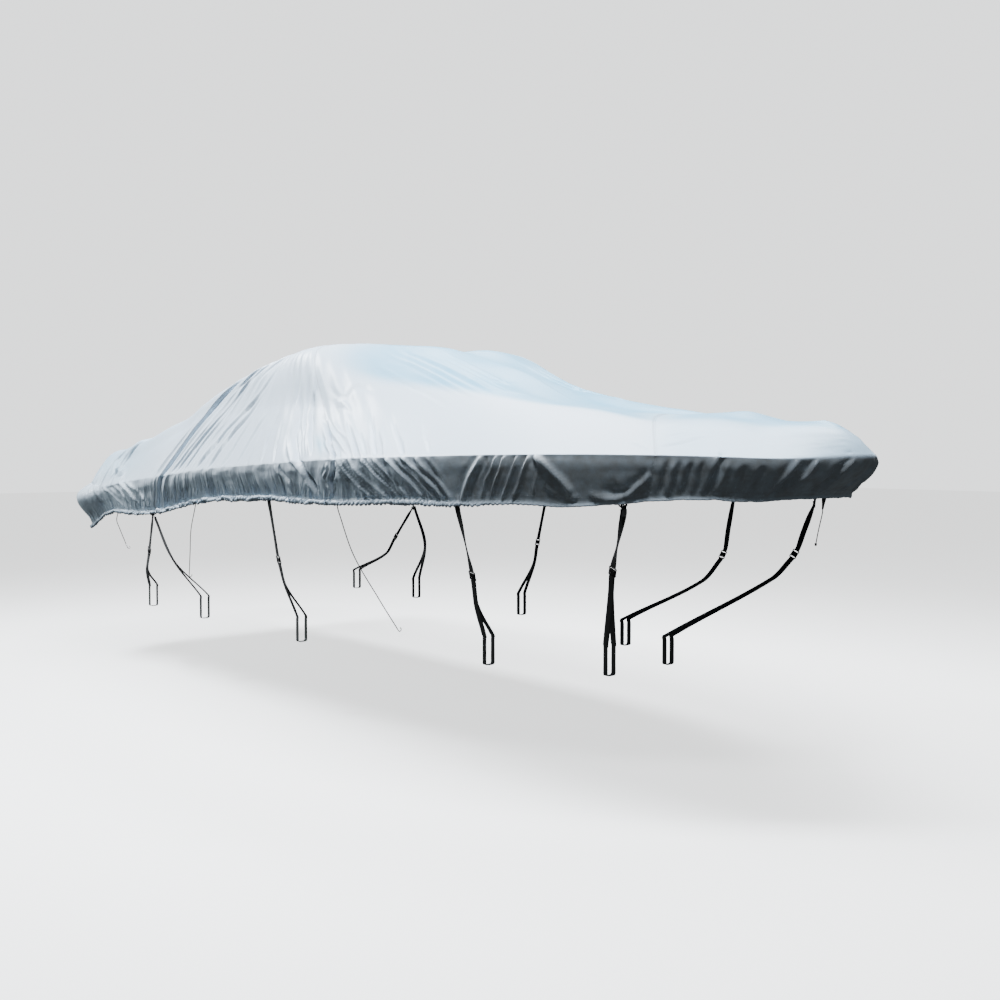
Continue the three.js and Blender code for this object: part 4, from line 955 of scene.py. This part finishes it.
def zinc_plated_steel():
    """Bent wire with zinc on it: bright metal with a clouded, slightly spangled gloss."""
    material, tree, shader, place = new_material("steel_zinc_plated")
    spangle = add_node(tree, "ShaderNodeTexNoise", {"Vector": place, "Scale": 1 / 0.006, "Detail": 3.0})
    colour = mix_colours(tree, spangle.outputs["Fac"], "#9EA3A7", "#D5D8DA")
    tree.links.new(colour, shader.inputs["Base Color"])
    rough = add_node(tree, "ShaderNodeMapRange", {"Value": spangle.outputs["Fac"], "To Min": 0.28,
                                                  "To Max": 0.45})
    tree.links.new(rough.outputs[0], shader.inputs["Roughness"])
    shader.inputs["Metallic"].default_value = 1.0
    return material


def braided_cord(name, hex_colour, hex_light):
    """Braided cord: a plaited skin of fine yarns, drawn as slanting bands that waver."""
    material, tree, shader, place = new_material(name)
    yarns = add_node(tree, "ShaderNodeTexWave", {"Vector": place, "Scale": 2 / 0.03, "Distortion": 2.0},
                     bands_direction="DIAGONAL")
    colour = mix_colours(tree, yarns.outputs["Fac"], hex_colour, hex_light)
    tree.links.new(colour, shader.inputs["Base Color"])
    bump = add_node(tree, "ShaderNodeBump", {"Height": yarns.outputs["Fac"], "Distance": 0.0008,
                                             "Strength": 0.7})
    tree.links.new(bump.outputs[0], shader.inputs["Normal"])
    shader.inputs["Roughness"].default_value = 0.8
    return material


def matt_floor(settings):
    """Matt painted floor: pale and even, with the faintest mottle."""
    material, tree, shader, place = new_material("floor_paint_matt")
    mottle = add_node(tree, "ShaderNodeTexNoise", {"Vector": place, "Scale": 1.5, "Detail": 2.0})
    base = linear(settings.floor_colour)
    colour = mix_colours(tree, mottle.outputs["Fac"], base, scaled_colour(base, 0.97))
    tree.links.new(colour, shader.inputs["Base Color"])
    shader.inputs["Roughness"].default_value = 0.9
    shader.inputs["Emission Color"].default_value = base
    shader.inputs["Emission Strength"].default_value = FLOOR_GLOW
    return material


def pale_room():
    """The room round the stage: pale to look at, and only a faint glow on the cover."""
    world = bpy.data.worlds.new("pale_room")
    world.use_nodes = True
    tree = world.node_tree
    tree.nodes.clear()
    seen = add_node(tree, "ShaderNodeBackground", {"Color": linear("#F1F3F4"), "Strength": ROOM_SEEN})
    glow = add_node(tree, "ShaderNodeBackground", {"Color": linear("#E4ECF0"), "Strength": ROOM_GLOW})
    path = add_node(tree, "ShaderNodeLightPath")
    both = add_node(tree, "ShaderNodeMixShader", {0: path.outputs["Is Camera Ray"]})
    tree.links.new(glow.outputs[0], both.inputs[1])
    tree.links.new(seen.outputs[0], both.inputs[2])
    add_node(tree, "ShaderNodeOutputWorld", {"Surface": both.outputs[0]})
    return world


def webbing_material():
    """The webbing, made once and shared by every strap."""
    return bpy.data.materials.get(WEBBING) or woven_webbing(settings())


def black_cord_material():
    """The black cord, made once and shared by the ties."""
    return bpy.data.materials.get(BLACK_CORD) or braided_cord(BLACK_CORD, "#141416", "#2A2A2E")


def paint(obj, material):
    """Gives an object one material."""
    obj.data.materials.clear()
    obj.data.materials.append(material)


def finish_piece(obj, material, slot, *nodes):
    """What every piece gets: its material, the body it rides on and the nodes it stands for; slot is not
    used.
    """
    paint(obj, material)
    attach(obj, "root")
    if nodes:
        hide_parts(*nodes)
    return obj


# ---------------------------------------------------------------- settings
class CoverSettings(bpy.types.PropertyGroup):
    """Sizes and colours of the cover."""
    cloth_colour: bpy.props.StringProperty(
        name="Cloth", description="Colour of the cloth, sRGB hex", default="#C0D1E0")
    sky_tint_colour: bpy.props.StringProperty(
        # Painted sky reflection: the blue painted on the cloth over the windscreen, not a colour of the cloth
        # itself.
        name="Cloth, cool", description="Colour of the cloth over the windscreen, sRGB hex",
        default="#5CA6C8")
    # Painted shade: this grey darkens the skirt to stand in for the shade under the gunwale, not road dust.
    skirt_shade_colour: bpy.props.StringProperty(
        name="Dust", description="Colour of the road dust on the skirt, sRGB hex", default="#8C8A84")
    webbing_colour: bpy.props.StringProperty(
        name="Webbing", description="Colour of the webbing, sRGB hex", default="#0E0E10")
    webbing_worn: bpy.props.StringProperty(
        name="Webbing, worn", description="Colour of worn webbing, sRGB hex", default="#232326")
    mesh_pitch: bpy.props.FloatProperty(
        name="Mesh pitch", description="Share of each panel's own mesh spacing", default=1.0, min=0.5,
        max=8.0, subtype="FACTOR")
    webbing_width: bpy.props.FloatProperty(
        name="Webbing width", description="Width of the straps", default=0.034, min=0.02, max=0.05,
        subtype="DISTANCE", unit="LENGTH")
    webbing_thickness: bpy.props.FloatProperty(
        name="Webbing thickness", description="Thickness of the straps", default=0.0026, min=0.001, max=0.005,
        subtype="DISTANCE", unit="LENGTH", precision=4)
    cord_radius: bpy.props.FloatProperty(
        name="Cord radius", description="Radius of the tie cords", default=0.003, min=0.001, max=0.006,
        subtype="DISTANCE", unit="LENGTH", precision=4)


class StageSettings(bpy.types.PropertyGroup):
    """Floor, light and camera."""
    floor_colour: bpy.props.StringProperty(
        name="Floor", description="Colour of the floor, sRGB hex", default="#E9EAEA")
    floor_height: bpy.props.FloatProperty(
        name="Floor height", description="The ground under the trailer's wheels", default=-2.265,
        subtype="DISTANCE", unit="LENGTH")
    camera_place: bpy.props.FloatVectorProperty(
        name="Camera", description="Where the camera stands", default=(6.155, -4.705, -0.625),
        subtype="XYZ", unit="LENGTH")
    camera_azimuth: bpy.props.FloatProperty(
        name="Azimuth", description="Heading of the camera, from +Y towards -X", default=math.radians(50.0),
        subtype="ANGLE", unit="ROTATION")
    camera_pitch: bpy.props.FloatProperty(
        name="Pitch", description="How far the camera looks down", default=math.radians(2.43),
        subtype="ANGLE", unit="ROTATION")
    camera_lens: bpy.props.FloatProperty(
        name="Lens", description="Focal length in millimetres on a 36 mm sensor", default=42.44)


def settings():
    """The cover's settings."""
    return bpy.context.scene.cover_settings


# ---------------------------------------------------------------- operators
class COVER_OT_cloth(bpy.types.Operator):
    """Adds the four panels of cloth with their folds and turned hem"""
    bl_idname = "cover.cloth"
    bl_label = "Cloth panels"

    def execute(self, context):
        cloth = coated_woven_polyester(settings())
        for panel in PANELS:
            obj = panel_object(panel, settings().mesh_pitch)
            finish_piece(obj, cloth, "cloth", panel["name"])
        return {"FINISHED"}


def side_name(side):
    """The side's name in the solids."""
    return "starboard" if side == STARBOARD else "port"


def cap_of(node):
    """The middle of a band's upper end, and the direction of its width, from its solid."""
    cap = []
    for point in sorted(node_points(node), key=lambda p: -p[2]):
        if all(np.linalg.norm(point - other) > 1e-5 for other in cap):
            cap.append(point)
        if len(cap) == 4:
            break
    far = max(((a, b) for a in cap for b in cap), key=lambda pair: np.linalg.norm(pair[0] - pair[1]))
    across = unit(far[0] - far[1])
    return sum(cap) / 4, across if across[0] > 0 else -across


def strap_frame(strap, side):
    """Where a strap's buckle sits and how it is tilted, as the solids have it, in metres."""
    shift = 0 if side == STARBOARD else strap["lean"]
    buckle, split = (
        np.array([strap[f"{part}_x"] + shift, side * strap[f"{part}_y"], strap[f"{part}_z"]]) * MM
        for part in ("buckle", "split"))
    top, top_across = cap_of(f"strap_{strap['name']}_{side_name(side)}_upper")
    drop = top - UP * 0.6 * settings().webbing_width
    tilt = unit(unit(buckle - drop) + unit(split - buckle))
    return {"buckle": buckle, "split": split, "top": top, "top_across": top_across, "drop": drop,
            "tilt": tilt, "across": unit(FORWARD - tilt * tilt[0]), "shift": shift,
            "clear": (BUCKLE["high"] / 2 + FIT) * MM}


def rail_loop(seat, tilt, across, split, rail, side):
    """The lower webbing: down to the split, round the rail and back up. rail is the loop's x and y (mm)."""
    wide, thick = settings().webbing_width, settings().webbing_thickness
    gap = thick / 2 + RAIL["clear"] * MM
    bend = RAIL["bend"] * MM
    out_y, in_y = side * (rail[1] * MM + gap), side * ((rail[1] - RAIL["deep"]) * MM - gap)
    top = (RAIL["bottom"] + RAIL["high"]) * MM
    above, low = top + 0.7 * wide, RAIL["bottom"] * MM - gap
    apart = unit(np.cross(tilt, across)) * (thick / 2 + 0.33 * MM)
    if apart[1] * side < 0:
        apart = -apart
    chamfer = bend * (1 - math.sqrt(0.5))
    following = seat + tilt * STRAIGHT * MM
    down = [(out_y, above), (out_y, top), (out_y, low + bend * 1.6), (out_y, low + bend),
            (out_y - side * chamfer, low + chamfer), (out_y - side * bend, low)]
    up = [(in_y + side * bend, low), (in_y + side * chamfer, low + chamfer), (in_y, low + bend),
          (in_y, low + bend * 1.6), (in_y, top), (in_y, above)]
    points = [seat + apart, following + apart, split + apart]
    points += [np.array([rail[0] * MM, y, z]) for y, z in down + up]
    points += [split - apart, following - apart, seat - apart]
    return band([(point, FORWARD, wide) for point in points], thick, WEBBING_STEP)


def upper_webbing(strap, side):
    """From the hem, or from its knot, down to the buckle."""
    wide = settings().webbing_width
    f = strap_frame(strap, side)
    end = f["buckle"] - f["tilt"] * f["clear"]
    turn = side * math.radians(strap["turn"])
    knotted = f"strap_{strap['name']}_{side_name(side)}_knot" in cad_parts
    return band([
        (f["top"] + UP * (0 if knotted else INTO_HEM * MM), f["top_across"], wide),
        (f["drop"], f["top_across"], wide),
        (f["drop"] * 0.75 + end * 0.25, FORWARD, wide),
        (f["drop"] * 0.38 + end * 0.62, (math.cos(turn), math.sin(turn), 0), wide * 0.9),
        (end - f["tilt"] * STRAIGHT * MM, f["across"], wide),
        (end + f["tilt"] * INTO_BUCKLE * MM, f["across"], wide),
    ], settings().webbing_thickness)


def lower_webbing(strap, side):
    """From the buckle down, round the trailer's rail and back."""
    f = strap_frame(strap, side)
    seat = f["buckle"] + f["tilt"] * f["clear"] - f["tilt"] * INTO_BUCKLE * MM
    rail = (strap["rail_x"] + f["shift"], strap["rail_y"])
    return rail_loop(seat, f["tilt"], f["across"], f["split"], rail, side)


def leg_webbing(side):
    """The second leg of the quarter strap, from the same knot to a place farther forward on the rail."""
    quarter = STRAPS[0]
    top, across = cap_of(f"strap_quarter_{side_name(side)}_leg")
    shift = 0 if side == STARBOARD else quarter["lean"]
    x, y, z = QUARTER_LEG["split"]
    split = np.array([x + shift, side * y, z]) * MM
    return rail_loop(top, -UP, across, split, (QUARTER_LEG["rail_x"] + shift, quarter["rail_y"]), side)


def knot_shape(node):
    """A strap's knot: a trefoil of twisted webbing as large as its solid, and the loose end below it."""
    points = node_points(node)
    low, high = points.min(0), points.max(0)
    middle, yarn = (low + high) / 2, KNOT["yarn"] * MM
    _, across = cap_of(node.replace("_knot", "_upper"))
    out = np.cross(across, UP)
    half = np.array([np.ptp(points @ across) / 2 - yarn, (high[2] - low[2]) / 2 - yarn, KNOT["deep"] * MM])
    path = middle + (trefoil(72) / (2.7, 2.8, 1.0) * half) @ np.array([across, UP, out])
    start = middle + across * half[0] * 0.5
    tail = band([(start - UP * down * MM + out * away * MM, across, wide * MM)
                 for down, away, wide in KNOT_TAIL], settings().webbing_thickness, WEBBING_STEP)
    return joined(tube(path, [yarn] * len(path), 8, 0.62), tail)


def buckle_shape():
    """A moulded buckle: a body between two loops for the webbing, with side arms and a rib at each end."""
    wide, high, thick = BUCKLE["wide"], BUCKLE["high"], BUCKLE["thick"]
    loop = 15
    parts = [slab(rounded(wide * 0.66, high - 2 * loop + 6, 5), thick, 2)]
    for end in (1, -1):
        parts.append(moulded_loop(rounded(wide, loop, 5), rounded(wide - 8, loop - 9, 2), thick * 0.7, 1.2,
                                  (0, end * (high - loop) / 2)))
        parts.append(slab(rounded(5.5, high - 2 * loop + 4, 2.6), thick * 0.66, 1.5, (end * wide * 0.42, 0)))
        parts.append(slab(rounded(wide * 0.42, 2.2, 1), thick + 1.4, 0.8, (0, end * 4)))
    return joined(*parts)


class COVER_OT_seams(bpy.types.Operator):
    """Adds the stitching along the seams and above the turned hem"""
    bl_idname = "cover.seams"
    bl_label = "Stitching"

    def execute(self, context):
        thread = braided_cord("polyester_thread_twisted", "#8E9498", "#B9BEC2")
        rows = []
        for side in (STARBOARD, PORT):
            for rib in SEAM_RIBS:
                for aside in SEAM_ROWS:
                    along = along_of(rib) + aside
                    points, out = one_side([along - 2, along, along + 2], np.linspace(*SEAM_REACH, 90), side)
                    rows.append((points[1], out[1], side))
            alongs = np.arange(20, KNOTS[-1] - 10, 9.0)
            points, out = one_side(alongs, [HEM_STITCHES - 0.01, HEM_STITCHES, HEM_STITCHES + 0.01], side)
            rows.append((points[:, 1], out[:, 1], side))
        shapes = []
        for line, lifts, side in rows:
            mirror = np.array([1, -side, 1])
            shapes.append(stitch_row(line * mirror * MM, lifts * mirror))
        finish_piece(mesh_object("seam_stitching", joined(*shapes)), thread, "cloth")
        return {"FINISHED"}


class COVER_OT_straps(bpy.types.Operator):
    """Adds the webbing straps of both sides, each with its upper webbing and its loop round the rail"""
    bl_idname = "cover.straps"
    bl_label = "Webbing straps"

    def execute(self, context):
        webbing = webbing_material()
        for side in (STARBOARD, PORT):
            pieces = {}
            for strap in STRAPS:
                node = f"strap_{strap['name']}_{side_name(side)}"
                pieces[f"{node}_upper"] = upper_webbing(strap, side)
                pieces[f"{node}_lower"] = lower_webbing(strap, side)
            pieces[f"strap_quarter_{side_name(side)}_leg"] = leg_webbing(side)
            for node, shape in pieces.items():
                piece = mesh_object(node.replace("strap_", "webbing_"), shape)
                finish_piece(piece, webbing, "webbing", node)
        return {"FINISHED"}


class COVER_OT_knots(bpy.types.Operator):
    """Adds the knots that tie the quarter and fore straps to the hem"""
    bl_idname = "cover.knots"
    bl_label = "Strap knots"

    def execute(self, context):
        webbing = webbing_material()
        for node in [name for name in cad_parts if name.endswith("_knot")]:
            knot = mesh_object(node.replace("strap_", "webbing_"), knot_shape(node))
            finish_piece(knot, webbing, "webbing", node)
        return {"FINISHED"}


class COVER_OT_buckles(bpy.types.Operator):
    """Adds the moulded side-release buckles"""
    bl_idname = "cover.buckles"
    bl_label = "Buckles"

    def execute(self, context):
        plastic = moulded_plastic("acetal_moulded", "#121214", 0.42)
        shape = buckle_shape()
        for side in (STARBOARD, PORT):
            for strap in STRAPS:
                f = strap_frame(strap, side)
                name = f"{strap['name']}_{side_name(side)}"
                up = -f["tilt"]
                buckle = placed(shape, f["buckle"], f["across"], up, np.cross(f["across"], up))
                piece = mesh_object(f"buckle_{name}", buckle)
                finish_piece(piece, plastic, "buckle_plastic", f"strap_{name}_buckle")
        return {"FINISHED"}


def hook_line(seat, along, inward):
    """The line of a J hook: a shank from its seat, half a turn and a short tip."""
    aside = unit(inward - along * (inward @ along))
    bend, shank, tip = HOOK["bend"] * MM, HOOK["shank"] * MM, HOOK["tip"] * MM
    turn = seat + along * shank + aside * bend
    points = [seat, seat + along * shank / 2]
    for angle in np.radians(np.linspace(0, 180, 13)):
        points.append(turn - aside * bend * math.cos(angle) + along * bend * math.sin(angle))
    points.append(turn + aside * bend - along * tip)
    return curve_through(points, 0.0015)


def hook_shape(seat, along, inward):
    """A bent wire hook with a wrapped eye."""
    line = hook_line(seat, along, inward)
    radii = np.full(len(line), HOOK["radius"] * MM)
    radii[-4:] *= (0.97, 0.9, 0.75, 0.45)
    aside = unit(np.cross(along, inward))
    middle, eye = seat + along * HOOK["eye_down"] * MM, HOOK["eye"] * MM
    ring = [middle + eye * (math.cos(turn) * along + math.sin(turn) * aside)
            for turn in np.linspace(0, 2 * math.pi, 25)[:-1]]
    return joined(tube(line, radii, 10), wire_ring(ring, HOOK["eye_wire"] * MM))


def wire_ring(loop, radius, turns=8):
    """A closed ring of wire along a loop of points."""
    loop = np.asarray(loop)
    rings = []
    centre = loop.mean(0)
    for k, point in enumerate(loop):
        tangent = loop[(k + 1) % len(loop)] - loop[k - 1]
        out = unit(point - centre)
        over = unit(np.cross(tangent, out))
        rings.append([point + radius * (math.cos(a) * out + math.sin(a) * over)
                      for a in np.linspace(0, 2 * math.pi, turns, endpoint=False)])
    return rings_shape(rings, True)


def top_of_cord(node):
    """The middle of a cord's upper end, and the way it sets out, from its solid."""
    points = np.unique(node_points(node).round(6), axis=0)
    points = points[np.argsort(-points[:, 2])]
    first, second = points[:CORD_SIDES].mean(0), points[CORD_SIDES:2 * CORD_SIDES].mean(0)
    return first, unit(second - first)


class COVER_OT_ties(bpy.types.Operator):
    """Adds the tie cords of the starboard side with their hooks"""
    bl_idname = "cover.ties"
    bl_label = "Tie cords"

    def execute(self, context):
        radius = settings().cord_radius
        black = (black_cord_material(), "black_cord")
        pale = (braided_cord("polyester_cord_braided_pale", "#A9A597", "#D0CCBE"), "pale_cord")
        zinc = (zinc_plated_steel(), "zinc_steel")
        moulded = (moulded_plastic("nylon_moulded_pale", "#B8B4A6", 0.5), "pale_plastic")
        for tie in TIES:
            name = tie["name"]
            cord_finish, hook_finish = (pale, moulded) if name == "tie_light" else (black, zinc)
            top, down = top_of_cord(f"{name}_cord")
            high, low, end = (np.array([tie[f"{part}_x"], -tie[f"{part}_y"], tie[f"{part}_z"]]) * MM
                              for part in ("high", "low", "end"))
            line = curve_through([top, top + down * 0.016, high, low, end], 0.006)
            cord = mesh_object(name.replace("tie_", "cord_"), tube(line, [radius] * len(line), 10))
            finish_piece(cord, *cord_finish, f"{name}_cord")
            along = unit(end - low)
            hook = mesh_object(name.replace("tie_", "hook_"),
                               hook_shape(end + along * FIT * MM, along, TO_PORT))
            finish_piece(hook, *hook_finish, f"{name}_hook")
            if f"{name}_hem_hook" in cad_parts:
                upper = mesh_object(name.replace("tie_", "hook_") + "_upper",
                                    hook_shape(top - down * FIT * MM, -down, TO_PORT))
                finish_piece(upper, *zinc, f"{name}_hem_hook")
        return {"FINISHED"}


def bow_tab_shape():
    """The webbing tab at the stem, folded narrower towards its foot."""
    points = node_points("bow_tab")
    low, high = points[:, 2].min(), points[:, 2].max()
    top = np.array([points[points[:, 2] > high - 0.001][:, 0].mean(), 0, high])
    foot = np.array([points[points[:, 2] < low + 0.001][:, 0].mean(), 0, low])
    hem_wide, middle_wide, foot_wide = (wide * MM for wide in BOW_TAB_WIDE)
    return band([(top + UP * 0.01, TO_PORT, hem_wide), (top * 0.85 + foot * 0.15, TO_PORT, hem_wide),
                 (top * 0.35 + foot * 0.65, TO_PORT, middle_wide), (foot, TO_PORT, foot_wide)],
                settings().webbing_thickness, 0.005)


class COVER_OT_bow_tie(bpy.types.Operator):
    """Adds the webbing tab at the stem and the cord that hangs from it"""
    bl_idname = "cover.bow_tie"
    bl_label = "Bow tie"

    def execute(self, context):
        black, radius = black_cord_material(), BOW_CORD["radius"] * MM
        tab = mesh_object("webbing_bow_tab", bow_tab_shape())
        finish_piece(tab, webbing_material(), "webbing", "bow_tab")
        start, _ = top_of_cord("bow_cord")
        end = np.array(BOW_CORD["end"]) * MM
        line = curve_through([start, start - UP * STRAIGHT * MM, start * 0.4 + end * 0.6, end], 0.006)
        cord = mesh_object("cord_bow", tube(line, [radius] * len(line), 10))
        finish_piece(cord, black, "black_cord", "bow_cord")
        loops = trefoil(48) * BOW_CORD["knot_half"] * MM
        yarn = BOW_CORD["knot_yarn"] * MM
        knot = mesh_object("cord_bow_knot", tube(end + loops[:, (0, 2, 1)], [yarn] * len(loops), 8))
        finish_piece(knot, black, "black_cord")
        return {"FINISHED"}


# Each soft light: name, place, what it aims at, width, length, spread in degrees, power in watts, colour.
LIGHTS = (("key_stern", (-4.2, -3.0, 4.6), (-0.8, -0.9, -0.6), 2.4, 1.2, 140, 760.0, "#F6FAFF"),
          ("key_bow", (4.6, -3.0, 4.4), (0.2, -0.9, -0.6), 1.6, 1.2, 140, 190.0, "#F6FAFF"),
          ("strip_bow", (1.6, -0.8, 4.4), (1.3, -0.5, -0.6), 4.4, 1.0, 140, 540.0, "#F6FAFF"),
          ("strip_port", (-0.3, 2.5, 3.8), (-0.3, 1.0, -0.6), 7.0, 1.1, 130, 400.0, "#F6FAFF"),
          ("fill_stern", (-6.5, -4.8, 0.9), (-1.6, -1.2, -0.9), 2.0, 1.2, 120, 110.0, "#EAF3F6"))
FLOOR_HALF = 40.0        # half the side of the square floor, in metres


def add_light(name, place, aim, width, length, spread, power, colour):
    """One soft rectangular light."""
    data = bpy.data.lights.new(name, "AREA")
    data.shape, data.size, data.size_y, data.energy = "RECTANGLE", width, length, power
    data.color, data.spread = linear(colour)[:3], math.radians(spread)
    light = bpy.data.objects.new(name, data)
    light.location = place
    light.rotation_euler = (Vector(aim) - Vector(place)).to_track_quat("-Z", "Y").to_euler()
    bpy.context.scene.collection.objects.link(light)


def add_camera(stage):
    """The camera, at its place on the stage."""
    data = bpy.data.cameras.new("camera")
    data.lens, data.sensor_width = stage.camera_lens, 36.0
    camera = bpy.data.objects.new("camera", data)
    camera.location = stage.camera_place
    camera.rotation_euler = (math.pi / 2 - stage.camera_pitch, 0, stage.camera_azimuth)
    bpy.context.scene.collection.objects.link(camera)
    bpy.context.scene.camera = camera


class COVER_OT_stage(bpy.types.Operator):
    """Adds the floor, the soft lights and the camera"""
    bl_idname = "cover.stage"
    bl_label = "Stage"

    def execute(self, context):
        stage = context.scene.cover_stage
        corners = [(x * FLOOR_HALF, y * FLOOR_HALF, stage.floor_height)
                   for x, y in ((-1, -1), (1, -1), (1, 1), (-1, 1))]
        floor = mesh_object("floor", (corners, [(0, 1, 2, 3)]), smooth=False)
        paint(floor, matt_floor(stage))
        floor.visible_diffuse = floor.visible_glossy = False    # a floor this pale would light the skirt
        for light in LIGHTS:
            add_light(*light)
        context.scene.world = pale_room()
        add_camera(stage)
        return {"FINISHED"}


class COVER_PT_panel(bpy.types.Panel):
    """The cover's pieces, in the sidebar"""
    bl_label = "Boat cover"
    bl_idname = "COVER_PT_panel"
    bl_space_type = "VIEW_3D"
    bl_region_type = "UI"
    bl_category = "Boat cover"

    def draw(self, context):
        for operator in OPERATORS:
            self.layout.operator(operator.bl_idname)


OPERATORS = (COVER_OT_stage, COVER_OT_cloth, COVER_OT_seams, COVER_OT_straps, COVER_OT_knots,
             COVER_OT_buckles, COVER_OT_ties, COVER_OT_bow_tie)
CLASSES = (CoverSettings, StageSettings, *OPERATORS, COVER_PT_panel)


def register():
    for cls in CLASSES:
        bpy.utils.register_class(cls)
    bpy.types.Scene.cover_settings = bpy.props.PointerProperty(type=CoverSettings)
    bpy.types.Scene.cover_stage = bpy.props.PointerProperty(type=StageSettings)


def unregister():
    del bpy.types.Scene.cover_stage
    del bpy.types.Scene.cover_settings
    for cls in reversed(CLASSES):
        bpy.utils.unregister_class(cls)


def main():
    register()
    bpy.ops.cover.stage()
    bpy.ops.cover.cloth()
    bpy.ops.cover.seams()
    bpy.ops.cover.straps()
    bpy.ops.cover.knots()
    bpy.ops.cover.buckles()
    bpy.ops.cover.ties()
    bpy.ops.cover.bow_tie()


if __name__ == "__main__":
    main()
